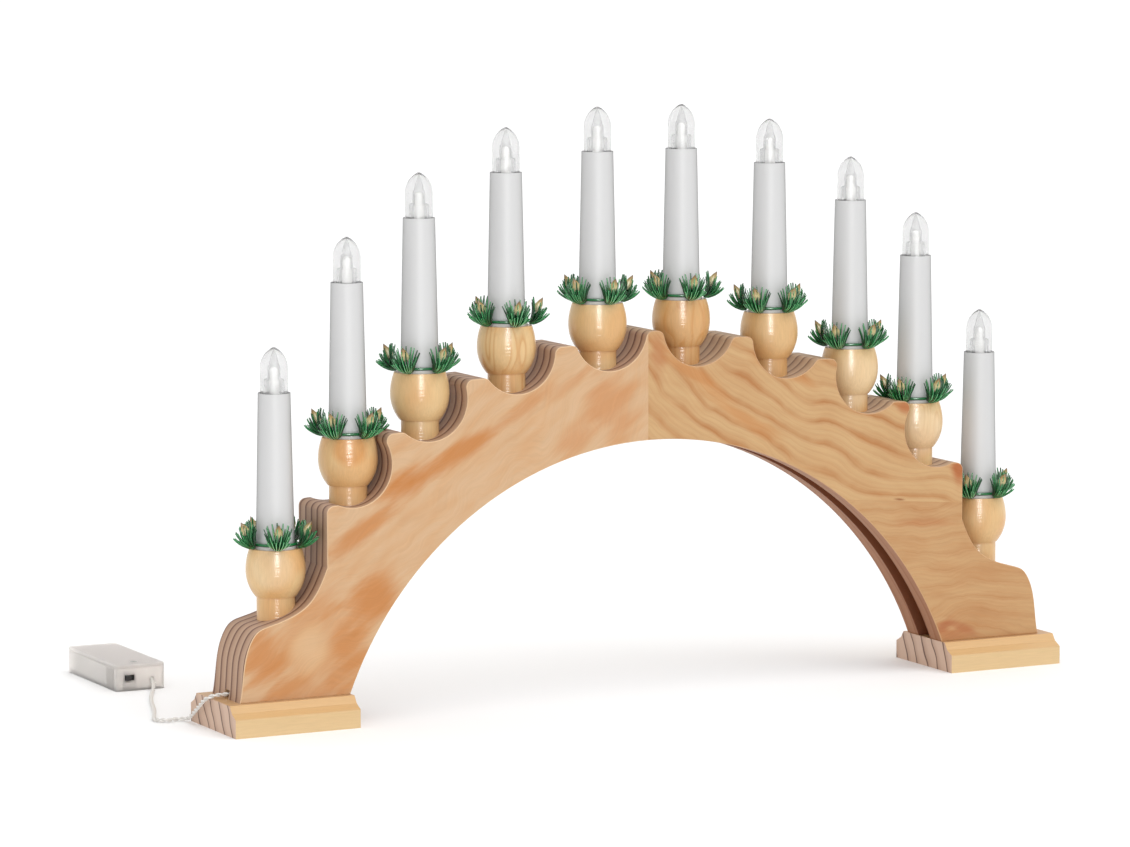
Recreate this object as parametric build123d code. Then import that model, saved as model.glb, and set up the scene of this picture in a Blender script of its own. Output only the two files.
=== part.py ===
"""A wooden candle arch with ten electric candles, worked from a small battery case.

Millimetres. X runs along the arch, Y from front (minus) to back (plus), Z up. The origin lies
on the table, under the middle of the arch. Candle 01 is the left end one, candle 10 the right.
"""
from build123d import *
from math import cos, hypot, radians, sin, sqrt, tan
import os

# Board of the arch
opening_radius = 220.0
opening_rise = 159.0  # top of the arched opening above the table
crest_rise = 66.6  # middle crest above the opening
board_thickness = 42.3
end_wall_reach = 219.6  # upright wall beside the end candle, from the middle
shoulder_width = 57.1  # from the end wall out to the leg's outer foot
scallop_radius = 24.8
crest_radius = 4.5
crest_fall = 2.0  # slope of each crest towards the end of the arch
edge_ease = 0.5
# Heights of the five crests from the middle out, as shares of the middle one's
crest_shares = (1.0, 0.9716, 0.8976, 0.7668, 0.5873)
# Leg outline below the end candle: across from end wall to leg reach, up from foot to shoulder
leg_outline_shares = (
    (0, 1.72), (0.08, 1.49), (0.208, 1.258), (0.419, 1.094), (0.655, 1.0),
    (0.79, 0.934), (0.87, 0.803), (0.944, 0.497), (1, 0),
)

# Wiring groove in the opening's edge, bores and channel under each leg
groove_width = 14.0
groove_depth = 14.0
channel_width = 7.0
channel_height = 5.2
channel_overrun = 4.0  # past the bore of the end candle
channel_relief = 5.0  # eased corner where a channel meets the groove
board_bore_radius = 3.0

# Glue seams and their dowels
middle_seam_x = -5.0
leg_seam_height = 106.2  # at the end wall, on the right leg only
leg_seam_slope = 4.9  # degrees
dowel_radius = 4.0
dowel_length = 40.0
dowel_clearance = 0.05
dowel_end_room = 0.5
dowel_offset = 12.5  # either side of the board's middle plane

# Feet
foot_overhang = 8.3  # past the leg's outer foot
foot_length = 80.4
foot_width = 68.0
foot_height = 18.3
foot_band_height = 11.2
foot_ledge_height = 14.0
foot_ledge_inset = 5.5
foot_top_inset = 8.7

# Foot screws
screw_shank_radius = 1.9
screw_head_radius = 3.8
screw_length = 38.0
screw_recess = 0.6
screw_clearance = 0.05
screw_slot_width = 1.0
screw_slot_depth = 1.1
screw_offset = 12.0  # either side of the board's middle plane
screw_spacing_share = 0.42  # of the foot's length

# Turned candle cup, measured down from its rim
cup_rim_radius = 15.5
cup_radius = 17.9
cup_widest_drop = 13.0
cup_body_height = 28.7
cup_crease_radius = 12.25
neck_radius = 11.5
neck_length = 14.5
neck_sunk = 3.3  # part of the neck let into the board
tenon_radius = 6.0
tenon_length = 9.0
cup_bore_radius = 2.5
socket_depth = 13.0
wood_fit = 0.1  # between a turned neck or tenon and its hole

# Candle sleeve, measured up from the cup's rim
sleeve_height = 92.5
sleeve_base_radius = 11.55
sleeve_top_radius = 9.65
sleeve_wall = 1.2
collar_radius = 12.8
collar_height = 1.8
spigot_length = 12.0
spigot_fit = 0.15
lamp_seat_depth = 8.0  # ledge below the sleeve's mouth
lamp_seat_height = 2.0
lamp_seat_radius = 6.0

# Flame shaped lamp cap, lamp holder and light
cap_radius = 8.3
cap_height = 27.0
cap_straight_height = 14.5
cap_wall = 1.0
cap_fit = 0.15
cap_tip_radius = 0.7
cap_solid_tip = 8.0
holder_disc_height = 2.0
holder_post_radius = 3.1
holder_post_rise = 7.5  # above the sleeve's mouth
light_radius = 2.5
light_flange_radius = 2.9
light_flange_height = 1.0
light_height = 8.2

# Places of the candles of one half: four as shares of end_wall_reach, the end one beside its
# wall, and all five rims as shares of the middle crest's height
candle_reach_shares = (0.1316, 0.4137, 0.6776, 0.8941)
end_cup_gap = 6.4  # between the end wall and the end cup
rim_height_shares = (1.0745, 1.0270, 0.9149, 0.7527, 0.4712)
# How far each scallop lies outside its candle, as shares of scallop_radius
scallop_shift_shares = (0.06, 0.087, 0.125, 0.22)

# Wires
harness_radius = 1.5
harness_gap = 0.3  # off the groove's floor
harness_bend = 7.0
harness_lead_gap = 0.3  # from the end of the lead
riser_radius = 1.1
riser_gap = 0.3
staple_wire = 0.9
staple_span = 5.0
staple_leg = 6.0
staple_room = 0.05
staple_angles = (-64, -48, -33, -14, 14, 33, 48, 64)  # degrees from upright

# Candle rings of plastic fir
ring_wire_radius = 0.8
ring_bore_gap = 0.4
ring_rest_gap = 0.3
sprigs_per_ring = 5
needles_per_sprig = 8
sprig_stem_length = 2.6
sprig_stem_radius = 1.3
needle_length = 17.0
needle_shortening = 5.5  # of the outermost needle of a fan
needle_radius = 0.6  # of the circle round its three sides
needle_taper = 1.0  # degrees
fan_half_angle = 38.0
outer_needle_tilt = 42.0
inner_needle_tilt = 68.0
bud_radius = 2.1
bud_length = 8.0
bud_tilt = 52.0
# Turn of each ring about its candle, from candle 01 to candle 10, in degrees
ring_turns = (-108, -144, -143, -95, -87, -95, -144, -75, -148, -142)

# Battery case for two AA cells
case_width = 32.0
case_length = 81.7
case_height = 16.4
case_centre_x = -272.5
case_front_y = 145.3
case_wall = 1.3
case_floor = 1.3
lid_thickness = 1.8
lid_gap = 0.1
lid_tab_height = 2.2
lid_tab_gap = 0.3
cell_bay_length = 57.5
cell_ridge_height = 3.0
cell_ridge_width = 4.0
boss_radius = 3.2
lid_screw_radius = 1.2
lid_screw_head_radius = 2.4
lid_screw_head_height = 1.2
lid_screw_length = 10.0
lid_screw_clearance = 0.3
lid_screw_y = 11.0  # from the case's front face
grip_ribs = 6
grip_rib_depth = 0.5
grip_rib_width = 1.0
grip_rib_pitch = 2.2

# Contacts in the battery case
contact_thickness = 0.4
contact_width = 8.5
contact_height = 9.5
contact_gap = 0.1
contact_spring_reach = 3.4

# Slide switch in the case's front wall
switch_share = 0.28  # across the case from its left side
switch_body_width = 9.0
switch_body_depth = 5.0
switch_body_height = 5.4
switch_slot_width = 6.6
switch_slot_height = 3.6
switch_travel = 2.4
lever_width = 3.4
lever_proud = 1.2
lever_depth = 1.4
switch_clearance = 0.3

# Lead from the board to the battery case, a twisted pair seen as one round
lead_radius = 1.3
lead_hole_gap = 0.2
lead_share = 0.74  # across the case from its left side
lead_route = (
    (-266.0, 0.0, 20.9), (-276.0, 0.4, 20.7), (-284.4, 0.7, 20.5), (-288.5, 4.2, 18.2),
    (-288.4, 11.0, 13.7), (-288.4, 19.0, 8.8), (-288.4, 25.8, 4.6), (-288.5, 30.7, 2.2),
    (-290.8, 34.3, 1.6), (-294.8, 35.6, 1.6), (-298.9, 34.0, 1.6), (-302.6, 34.9, 1.6),
    (-305.2, 38.0, 1.6), (-305.6, 42.2, 1.6), (-303.5, 47.6, 1.6), (-299.4, 56.5, 1.6),
    (-293.6, 71.0, 1.6), (-287.0, 91.0, 1.6), (-279.9, 110.0, 1.6), (-273.8, 123.5, 1.6),
    (-269.2, 132.4, 1.7), (-266.4, 138.4, 4.5), (-264.9, 143.8, 6.4), (-264.82, 149.0, 6.4),
)
cut_overrun = 5.0

# Derived sizes and places
opening_centre_z = opening_rise - opening_radius
groove_radius = opening_radius + groove_depth
crest_height = opening_rise + crest_rise
leg_reach = end_wall_reach + shoulder_width
foot_reach = leg_reach + foot_overhang
candle_reaches = [share * end_wall_reach for share in candle_reach_shares]
candle_reaches.append(end_wall_reach + end_cup_gap + cup_radius)
rim_heights = [share * crest_height for share in rim_height_shares]
crest_heights = [share * crest_height for share in crest_shares]
seat_drop = cup_body_height + neck_length
spigot_radius = sleeve_base_radius - spigot_fit
socket_radius = sleeve_base_radius
mouth_radius = cap_radius + cap_fit
lamp_seat_z = sleeve_height - lamp_seat_depth
ring_radius = sleeve_base_radius + ring_bore_gap + ring_wire_radius
ring_rise = collar_height + ring_rest_gap + ring_wire_radius
lid_bottom_z = case_height - lid_thickness
case_left_x = case_centre_x - case_width / 2
case_inner_width = case_width - 2 * case_wall
partition_y = case_front_y + case_length - case_wall - cell_bay_length - case_wall
lead_z = foot_height + channel_height / 2


def write(shape, name):
    """Label a piece and write it to its own file."""
    shape.label = name
    export_step(shape, f"parts/{name}.step")


def cylinder(radius, height, x=0, y=0, z=0):
    """An upright cylinder standing on z."""
    return Pos(x, y, z) * Cylinder(radius, height, align=(Align.CENTER, Align.CENTER, Align.MIN))


def block(width, depth, height, x=0, y=0, z=0):
    """A box centred on x and y and standing on z."""
    return Pos(x, y, z) * Box(width, depth, height, align=(Align.CENTER, Align.CENTER, Align.MIN))


def turned(edges):
    """A solid turned about Z from a closed half section in XZ."""
    return revolve(Plane.XZ * make_face(edges), Axis.Z)


def candles():
    """Number, x and rim height of each candle from left to right."""
    left = [(-x, z) for x, z in zip(reversed(candle_reaches), reversed(rim_heights))]
    right = list(zip(candle_reaches, rim_heights))
    return [(number, x, z) for number, (x, z) in enumerate(left + right, 1)]


# Wooden arch
def upper_outline():
    """Right half of the board's outline from the middle out: steps, end wall and leg."""
    steps = [(0, crest_heights[0])]
    for reach, inner, outer in zip(candle_reaches, crest_heights, crest_heights[1:]):
        steps += [(reach, inner - crest_fall / 2), (reach, outer + crest_fall / 2)]
    steps[1] = (steps[1][0], crest_heights[0])
    shoulder_height = rim_heights[-1] - seat_drop - foot_height
    leg = [
        (end_wall_reach + across * shoulder_width, foot_height + up * shoulder_height)
        for across, up in leg_outline_shares
    ]
    steps += [(end_wall_reach, crest_heights[-1] - crest_fall / 2), leg[0]]
    return Polyline(*steps) + Spline(*leg)


def board_face():
    """The whole arch in outline, with its opening, scallops and eased crests."""
    half = upper_outline()
    base = Line((-leg_reach, foot_height), (leg_reach, foot_height))
    face = make_face(half.edges() + mirror(half, Plane.YZ).edges() + base.edges())
    face -= Pos(0, opening_centre_z) * Circle(opening_radius)
    for side in (-1, 1):
        for reach, rim, share in zip(candle_reaches, rim_heights, scallop_shift_shares):
            x = side * (reach + share * scallop_radius)
            z = rim - seat_drop + neck_sunk + scallop_radius
            face -= Pos(x, z) * Circle(scallop_radius)
    end_wall_foot = foot_height + leg_outline_shares[0][1] * (
        rim_heights[-1] - seat_drop - foot_height
    )
    corners = [
        v for v in face.vertices()
        if v.Y > end_wall_foot and hypot(v.X, v.Y - opening_centre_z) > groove_radius
    ]
    return fillet(corners, crest_radius)


def board_blank():
    """The arch cut out of thick board, with both faces' edges eased."""
    blank = extrude(Plane.XZ * board_face(), board_thickness / 2, both=True)
    faces = blank.faces().filter_by(Axis.Y)
    return chamfer(faces.edges(), edge_ease)


def last_run_end(turn_x):
    """Where the wires end on the right: under the end candle, or past their bend."""
    return max(candle_reaches[-1], turn_x + 2 * harness_bend)


def groove_cut():
    """Wiring groove along the opening's edge, and the channels under the legs."""
    ring = Circle(groove_radius) - Circle(opening_radius - cut_overrun)
    cut = extrude(Plane.XZ * (Pos(0, opening_centre_z) * ring), groove_width / 2, both=True)
    ceiling = foot_height + channel_height - opening_centre_z
    corner = sqrt(groove_radius ** 2 - ceiling ** 2)
    bore_reach = last_run_end(corner) + channel_overrun
    left_end = leg_reach + cut_overrun
    for start, end in ((-left_end, -corner), (corner, bore_reach)):
        length = end - start
        cut += block(length, channel_width, channel_height, (start + end) / 2, 0, foot_height)
    for side in (-1, 1):
        cut += block(
            2 * channel_relief, channel_width, channel_height + channel_relief,
            side * corner, 0, foot_height,
        )
    return cut


def candle_holes():
    """Seat, tenon hole and wire bore under each cup."""
    cut = []
    for _, x, rim in candles():
        seat = rim - seat_drop
        tenon_foot = seat - tenon_length - dowel_end_room
        bore_foot = foot_height
        if abs(x) < groove_radius:
            bore_foot = opening_centre_z + sqrt(groove_radius ** 2 - x ** 2) - groove_depth / 2
        cut.append(cylinder(neck_radius + wood_fit, neck_length, x, 0, seat))
        cut.append(cylinder(tenon_radius + wood_fit, neck_length + seat - tenon_foot, x, 0, tenon_foot))
        cut.append(cylinder(board_bore_radius, seat - bore_foot, x, 0, bore_foot))
    return cut


def dowel_places():
    """Place of each dowel's middle, with its axis along the place's own Z."""
    middle_z = (opening_rise + groove_depth + rim_heights[0] - seat_drop) / 2
    dowel_foot = leg_seam_height - dowel_length / 2
    opening_x = sqrt(opening_radius ** 2 - (dowel_foot - opening_centre_z) ** 2)
    leg_x = (opening_x + candle_reaches[-2] - tenon_radius) / 2
    leg_z = leg_seam_height + (end_wall_reach - leg_x) * tan(radians(leg_seam_slope))
    places = []
    for y in (-dowel_offset, dowel_offset):
        places.append(Pos(middle_seam_x, y, middle_z) * Rot(0, 90, 0))
        places.append(Pos(leg_x, y, leg_z) * Rot(0, leg_seam_slope, 0))
    return places


def screw_places():
    """X, Y of each foot screw."""
    middle = foot_reach - foot_length / 2
    shift = foot_length * screw_spacing_share / 2
    places = []
    for side in (-1, 1):
        for step in (-1, 1):
            places.append((side * (middle + step * shift), step * screw_offset))
    return places


def staple_frame(angle):
    """Frame on the groove's floor at an angle from upright: X along the groove, Z into the wood."""
    return Pos(0, 0, opening_centre_z) * Rot(0, angle, 0) * Pos(0, 0, groove_radius)


def staple_legs(thickness, length):
    """The two legs of one staple, from the groove's floor into the wood."""
    legs = []
    for side in (-1, 1):
        legs.append(block(thickness, thickness, length, 0, side * staple_span / 2, 0))
    return legs


def make_boards():
    """Left board, right board and the right leg's block, drilled for all that they hold."""
    blank = board_blank() - groove_cut()
    holes = candle_holes()
    for place in dowel_places():
        length = dowel_length + 2 * dowel_end_room
        holes.append(place * Cylinder(dowel_radius + dowel_clearance, length))
    pilot = screw_recess + screw_length - foot_height + dowel_end_room
    for x, y in screw_places():
        holes.append(cylinder(screw_shank_radius + screw_clearance, pilot, x, y, foot_height))
    for angle in staple_angles:
        for leg in staple_legs(staple_wire + 2 * staple_room, staple_leg + staple_room):
            holes.append(staple_frame(angle) * leg)
    blank -= holes
    size = 4 * foot_reach
    left_side = Pos(middle_seam_x - size / 2, 0, 0) * Box(size, size, size)
    below_seam = (
        Pos(end_wall_reach, 0, leg_seam_height) * Rot(0, leg_seam_slope, 0) * Pos(0, 0, -size / 2)
        * Box(2 * end_wall_reach, size, size)
    )
    left = blank & left_side
    right = blank - left_side
    return left, right - below_seam, right & below_seam


def make_dowels():
    """Hidden dowels across both glue seams."""
    return Compound([place * Cylinder(dowel_radius, dowel_length) for place in dowel_places()])


def make_foot(side):
    """A moulded foot, cut square at its ends, with countersunk screw holes."""
    half = foot_width / 2
    right = [
        (half, 0), (half, foot_band_height), (half - foot_ledge_inset, foot_ledge_height),
        (half - foot_top_inset, foot_height),
    ]
    left = [(-y, z) for y, z in reversed(right)]
    profile = make_face(Polyline(*right, *left, close=True))
    centre = side * (foot_reach - foot_length / 2)
    foot = Pos(centre, 0, 0) * extrude(Plane.YZ * profile, foot_length / 2, both=True)
    for x, y in screw_places():
        hole = cylinder(screw_shank_radius + screw_clearance, foot_height, x, y, 0)
        hole += cylinder(screw_head_radius + screw_clearance, screw_recess, x, y, 0)
        slope = screw_head_radius - screw_shank_radius
        cone = Cone(
            screw_head_radius + screw_clearance, screw_shank_radius + screw_clearance, slope,
            align=(Align.CENTER, Align.CENTER, Align.MIN),
        )
        foot -= hole + Pos(x, y, screw_recess) * cone
    return foot


def make_screws():
    """Slotted countersunk screws, driven up through the feet into the legs."""
    slope = screw_head_radius - screw_shank_radius
    head = Cone(
        screw_head_radius, screw_shank_radius, slope,
        align=(Align.CENTER, Align.CENTER, Align.MIN),
    )
    head -= block(2 * cup_radius, screw_slot_width, screw_slot_depth)
    shank = cylinder(screw_shank_radius, screw_length - 2 * slope, 0, 0, slope)
    point = Pos(0, 0, screw_length - slope) * Cone(
        screw_shank_radius, screw_slot_width / 2, slope,
        align=(Align.CENTER, Align.CENTER, Align.MIN),
    )
    screw = head + shank + point
    return Compound([Pos(x, y, screw_recess) * screw for x, y in screw_places()])


# Candles
def make_cup():
    """Turned cup: goblet body, neck and tenon, bored for the sleeve and the wires."""
    body_foot = (cup_crease_radius, -cup_body_height)
    upper = TangentArc((cup_radius, -cup_widest_drop), (cup_rim_radius, 0), tangent=(0, 1))
    lower = TangentArc((cup_radius, -cup_widest_drop), body_foot, tangent=(0, -1))
    rest = Polyline(
        body_foot, (neck_radius, -cup_body_height), (neck_radius, -seat_drop),
        (tenon_radius, -seat_drop), (tenon_radius, -seat_drop - tenon_length),
        (cup_bore_radius, -seat_drop - tenon_length), (cup_bore_radius, -socket_depth),
        (socket_radius, -socket_depth), (socket_radius, 0), (cup_rim_radius, 0),
    )
    return turned(upper.edges() + lower.edges() + rest.edges())


def sleeve_bore(z):
    """Inside radius of the tapered sleeve at a height above the rim."""
    base = spigot_radius - sleeve_wall
    return base + (mouth_radius - base) * (z + spigot_length) / (sleeve_height + spigot_length)


def make_sleeve():
    """Tapered candle sleeve with a collar, a spigot and a ledge for the lamp holder."""
    ledge_foot = lamp_seat_z - lamp_seat_height
    outline = Polyline(
        (spigot_radius, -spigot_length), (spigot_radius, 0), (collar_radius, 0),
        (collar_radius, collar_height), (sleeve_base_radius, collar_height),
        (sleeve_top_radius, sleeve_height), (mouth_radius, sleeve_height),
        (sleeve_bore(lamp_seat_z), lamp_seat_z), (lamp_seat_radius, lamp_seat_z),
        (lamp_seat_radius, ledge_foot), (sleeve_bore(ledge_foot), ledge_foot),
        (sleeve_bore(-spigot_length), -spigot_length), close=True,
    )
    return turned(outline.edges())


def cap_curve(radius, shoulder, tip_radius, tip):
    """Flame curve from a straight side to a small flat tip."""
    return TangentArc((radius, shoulder), (tip_radius, tip), tangent=(0, 1))


def make_cap():
    """Hollow flame shaped cap with a solid tip."""
    foot = -lamp_seat_depth + holder_disc_height
    inner_radius = cap_radius - cap_wall
    inner_top = cap_height - cap_solid_tip
    outer = cap_curve(cap_radius, cap_straight_height, cap_tip_radius, cap_height)
    inner = TangentArc(
        (inner_radius, cap_straight_height - cap_wall), (0, inner_top), tangent=(0, 1)
    )
    sides = Polyline(
        (inner_radius, cap_straight_height - cap_wall), (inner_radius, foot), (cap_radius, foot),
        (cap_radius, cap_straight_height),
    )
    tip = Polyline((cap_tip_radius, cap_height), (0, cap_height), (0, inner_top))
    return turned(outer.edges() + inner.edges() + sides.edges() + tip.edges())


def make_holder():
    """Lamp holder: a disc on the sleeve's ledge and a hollow post for the light."""
    disc = cylinder(cap_radius, holder_disc_height, 0, 0, -lamp_seat_depth)
    post_height = lamp_seat_depth + holder_post_rise
    post = cylinder(holder_post_radius, post_height, 0, 0, -lamp_seat_depth)
    wire_hole = cylinder(riser_radius + riser_gap, post_height, 0, 0, -lamp_seat_depth)
    return disc + post - wire_hole


def make_light():
    """A small round light with its flange and dome."""
    flange = cylinder(light_flange_radius, light_flange_height)
    barrel = cylinder(light_radius, light_height - light_radius)
    dome = Pos(0, 0, light_height - light_radius) * Sphere(light_radius)
    return flange + barrel + dome


# Wires
def harness_path():
    """Middle line of the wires, under the left leg, round the groove and under the right leg."""
    radius = groove_radius - harness_gap - harness_radius
    turn_x = sqrt(radius ** 2 - (lead_z - opening_centre_z) ** 2)
    left_end = (lead_route[0][0] + harness_lead_gap, lead_z)
    right_end = (last_run_end(turn_x), lead_z)
    top = (0, opening_centre_z + radius)
    with BuildLine() as line:
        Line(left_end, (-turn_x, lead_z))
        ThreePointArc((-turn_x, lead_z), top, (turn_x, lead_z))
        Line((turn_x, lead_z), right_end)
        fillet([v for v in line.vertices() if abs(abs(v.X) - turn_x) < wood_fit], harness_bend)
    return Plane.XZ * line.wire()


def make_harness():
    """The wires in the groove, as one round bundle."""
    path = harness_path()
    start = Plane(path @ 0, z_dir=path % 0)
    return sweep(start * Circle(harness_radius), path=path)


def make_risers():
    """A straight pair of wires up each candle, from the groove to the light."""
    risers = []
    outer = groove_radius - harness_gap + riser_gap
    for _, x, rim in candles():
        foot = lead_z + harness_radius + riser_gap
        if abs(x) < groove_radius:
            foot = opening_centre_z + sqrt(outer ** 2 - (abs(x) - riser_radius) ** 2)
        top = rim + sleeve_height + holder_post_rise - riser_gap
        risers.append(cylinder(riser_radius, top - foot, x, 0, foot))
    return Compound(risers)


def make_staples():
    """Staples that hold the bundle to the groove's floor."""
    drop = 2 * harness_radius + 2 * harness_gap
    staples = []
    for angle in staple_angles:
        legs = staple_legs(staple_wire, staple_leg + drop)
        bridge = block(staple_wire, staple_span + staple_wire, staple_wire, 0, 0, -staple_wire)
        staple = Pos(0, 0, -drop) * (bridge + legs)
        staples.append(staple_frame(angle) * staple)
    return Compound(staples)


# Rings of fir
def needle(base, spread, tilt, length):
    """One three sided needle from a base point, spread sideways and tilted up, in degrees."""
    a = radians(spread)
    e = radians(tilt)
    heading = (cos(e) * cos(a), sin(a), sin(e) * cos(a))
    shape = extrude(RegularPolygon(needle_radius, 3), length, taper=needle_taper)
    return Plane(origin=base, z_dir=heading) * shape


def sprig_pieces():
    """Stem, needles and bud of one sprig, pointing along X from the ring."""
    base = (ring_radius + sprig_stem_length / 2, 0, 0)
    pieces = [Pos(base) * Box(sprig_stem_length, 2 * sprig_stem_radius, 2 * ring_wire_radius)]
    for index in range(needles_per_sprig):
        share = 2 * index / (needles_per_sprig - 1) - 1
        tilt = outer_needle_tilt if index % 2 else inner_needle_tilt
        length = needle_length - needle_shortening * abs(share)
        pieces.append(needle(base, share * fan_half_angle, tilt, length))
    bud = Cone(bud_radius, bud_radius / 3, bud_length, align=(Align.CENTER, Align.CENTER, Align.MIN))
    heading = (cos(radians(bud_tilt)), 0, sin(radians(bud_tilt)))
    bud_base = (ring_radius + sprig_stem_length, 0, ring_wire_radius)
    pieces.append(Plane(origin=bud_base, z_dir=heading) * bud)
    return pieces


def make_ring():
    """One ring of round wire with its sprigs, as a single moulding at the origin."""
    pieces = []
    for index in range(sprigs_per_ring):
        turn = Rot(0, 0, index * 360 / sprigs_per_ring)
        pieces += [turn * piece for piece in sprig_pieces()]
    return Torus(ring_radius, ring_wire_radius).fuse(*pieces)


# Battery case
def make_case():
    """Open tray with two cell bays, a switch compartment, a boss and grip ribs."""
    middle_y = case_front_y + case_length / 2
    case = block(case_width, case_length, lid_bottom_z, case_centre_x, middle_y, 0)
    vertical = case.edges().filter_by(Axis.Z)
    case = fillet(vertical, case_wall)
    bay_y = partition_y + case_wall + cell_bay_length / 2
    inside = lid_bottom_z - case_floor
    case -= block(case_inner_width, cell_bay_length, inside, case_centre_x, bay_y, case_floor)
    front_length = partition_y - case_front_y - case_wall
    front_y = case_front_y + case_wall + front_length / 2
    case -= block(case_inner_width, front_length, inside, case_centre_x, front_y, case_floor)
    ridge = Polyline((-cell_ridge_width / 2, 0), (cell_ridge_width / 2, 0), (0, cell_ridge_height), close=True)
    ridge = Plane.XZ * make_face(ridge)
    ridge = extrude(ridge, cell_bay_length / 2, both=True)
    case += Pos(case_centre_x, bay_y, case_floor) * ridge
    boss_y = case_front_y + lid_screw_y
    boss = cylinder(boss_radius, inside - lid_tab_gap, case_centre_x, boss_y, case_floor)
    boss -= cylinder(lid_screw_radius + lid_screw_clearance, inside, case_centre_x, boss_y, case_floor)
    case += boss
    case += switch_pedestal()
    case -= front_cuts()
    return case + grip_rib_blocks()


def switch_x():
    """Middle of the switch across the case."""
    return case_left_x + switch_share * case_width


def switch_z():
    """Middle height of the switch."""
    return case_height / 2


def switch_pedestal():
    """Block on the case's floor that carries the switch."""
    height = switch_z() - switch_body_height / 2 - case_floor
    y = case_front_y + case_wall + switch_body_depth / 2
    return block(switch_body_width, switch_body_depth, height, switch_x(), y, case_floor)


def front_cuts():
    """Slot for the switch lever and hole for the lead in the case's front wall."""
    slot = Box(switch_slot_width, 2 * cut_overrun, switch_slot_height)
    slot = Pos(switch_x(), case_front_y, switch_z()) * slot
    slot &= block(case_width, 2 * case_wall, case_height, case_centre_x, case_front_y, 0)
    hole = Rot(90, 0, 0) * Cylinder(lead_radius + lead_hole_gap, 2 * case_wall + lead_hole_gap)
    return slot + Pos(case_left_x + lead_share * case_width, case_front_y, lead_route[-1][2]) * hole


def grip_rib_blocks():
    """Upright grip ribs on both long sides near the switch."""
    ribs = []
    for side in (-1, 1):
        x = case_centre_x + side * case_width / 2
        for index in range(grip_ribs):
            y = case_front_y + grip_rib_pitch * (index + 2)
            ribs.append(
                block(2 * grip_rib_depth, grip_rib_width, lid_bottom_z - 2 * case_floor, x, y, case_floor)
            )
    return ribs


def make_lid():
    """Flat lid with a tab inside each end wall and a countersunk screw hole."""
    middle_y = case_front_y + case_length / 2
    lid = block(case_width, case_length, lid_thickness - lid_gap, case_centre_x, middle_y, lid_bottom_z + lid_gap)
    lid = fillet(lid.edges().filter_by(Axis.Z), case_wall)
    lid = chamfer(lid.faces().sort_by(Axis.Z)[-1].edges(), case_wall / 3)
    tab_width = case_inner_width / 3
    for y, toward in ((case_front_y + case_wall, 1), (case_front_y + case_length - case_wall, -1)):
        tab_y = y + toward * (lid_tab_gap + case_wall / 2)
        lid += block(
            tab_width, case_wall, lid_tab_height + lid_gap, case_centre_x, tab_y,
            lid_bottom_z - lid_tab_height + lid_gap,
        )
    x, y = case_centre_x, case_front_y + lid_screw_y
    lid -= cylinder(lid_screw_radius + lid_screw_clearance, case_height, x, y, 0)
    head_z = case_height - lid_screw_head_height
    lid -= cylinder(lid_screw_head_radius + lid_screw_clearance, lid_thickness, x, y, head_z - contact_gap)
    return lid


def make_lid_screw():
    """Small screw that holds the lid."""
    x, y = case_centre_x, case_front_y + lid_screw_y
    head_z = case_height - lid_screw_head_height
    screw = cylinder(lid_screw_head_radius, lid_screw_head_height - contact_gap, x, y, head_z - contact_gap)
    screw += cylinder(lid_screw_radius, lid_screw_length, x, y, head_z - contact_gap - lid_screw_length)
    slots = block(2 * lid_screw_radius, contact_thickness, lid_thickness, x, y, case_height - 2 * contact_thickness)
    slots += block(contact_thickness, 2 * lid_screw_radius, lid_thickness, x, y, case_height - 2 * contact_thickness)
    return screw - slots


def make_contacts():
    """Flat plates at one end of the bays and folded leaf springs at the other."""
    floor = case_floor + contact_gap
    front = partition_y + case_wall + contact_gap
    back = case_front_y + case_length - case_wall - contact_gap
    quarter = case_inner_width / 4
    fold = contact_height / 2
    leaf_line = Polyline(
        (contact_thickness / 2, 0), (contact_thickness / 2, contact_height),
        (contact_spring_reach, fold), (2 * contact_thickness, fold / 2),
    )
    leaf = trace(leaf_line, contact_thickness)
    leaf = Plane.YZ * leaf
    pieces = []
    for side in (-1, 1):
        x = case_centre_x + side * quarter
        plate = block(
            contact_width, contact_thickness, contact_height, x, back - contact_thickness / 2, floor
        )
        spring = Pos(x, front, floor + contact_thickness) * extrude(leaf, contact_width / 2, both=True)
        pieces += [plate, spring]
    return Compound(pieces)


def make_switch_body():
    """Switch housing behind the front wall, with a recess for the lever."""
    y = case_front_y + case_wall + contact_gap + switch_body_depth / 2
    z = switch_z() - switch_body_height / 2
    body = block(switch_body_width, switch_body_depth, switch_body_height, switch_x(), y, z)
    recess_depth = lever_depth + switch_clearance
    recess = block(
        switch_slot_width, recess_depth, switch_slot_height, switch_x(),
        y - switch_body_depth / 2 + recess_depth / 2, switch_z() - switch_slot_height / 2,
    )
    return body - recess


def make_lever():
    """Sliding lever of the switch, at its left stop."""
    depth = lever_proud + case_wall + lever_depth
    x = switch_x() - switch_travel / 2
    y = case_front_y - lever_proud + depth / 2
    height = switch_slot_height - 2 * switch_clearance
    lever = block(lever_width, depth, height, x, y, switch_z() - height / 2)
    front = lever.faces().sort_by(Axis.Y)[0]
    return chamfer(front.edges(), switch_clearance)


# Lead
def bend_radii(points):
    """The largest radius that each corner's two runs allow."""
    radii = []
    for before, corner, after in zip(points, points[1:], points[2:]):
        incoming = Vector(*corner) - Vector(*before)
        outgoing = Vector(*after) - Vector(*corner)
        turn = incoming.get_angle(outgoing)
        shorter = min(incoming.length, outgoing.length)
        radii.append(0.45 * shorter / tan(radians(turn) / 2))
    return radii


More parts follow.
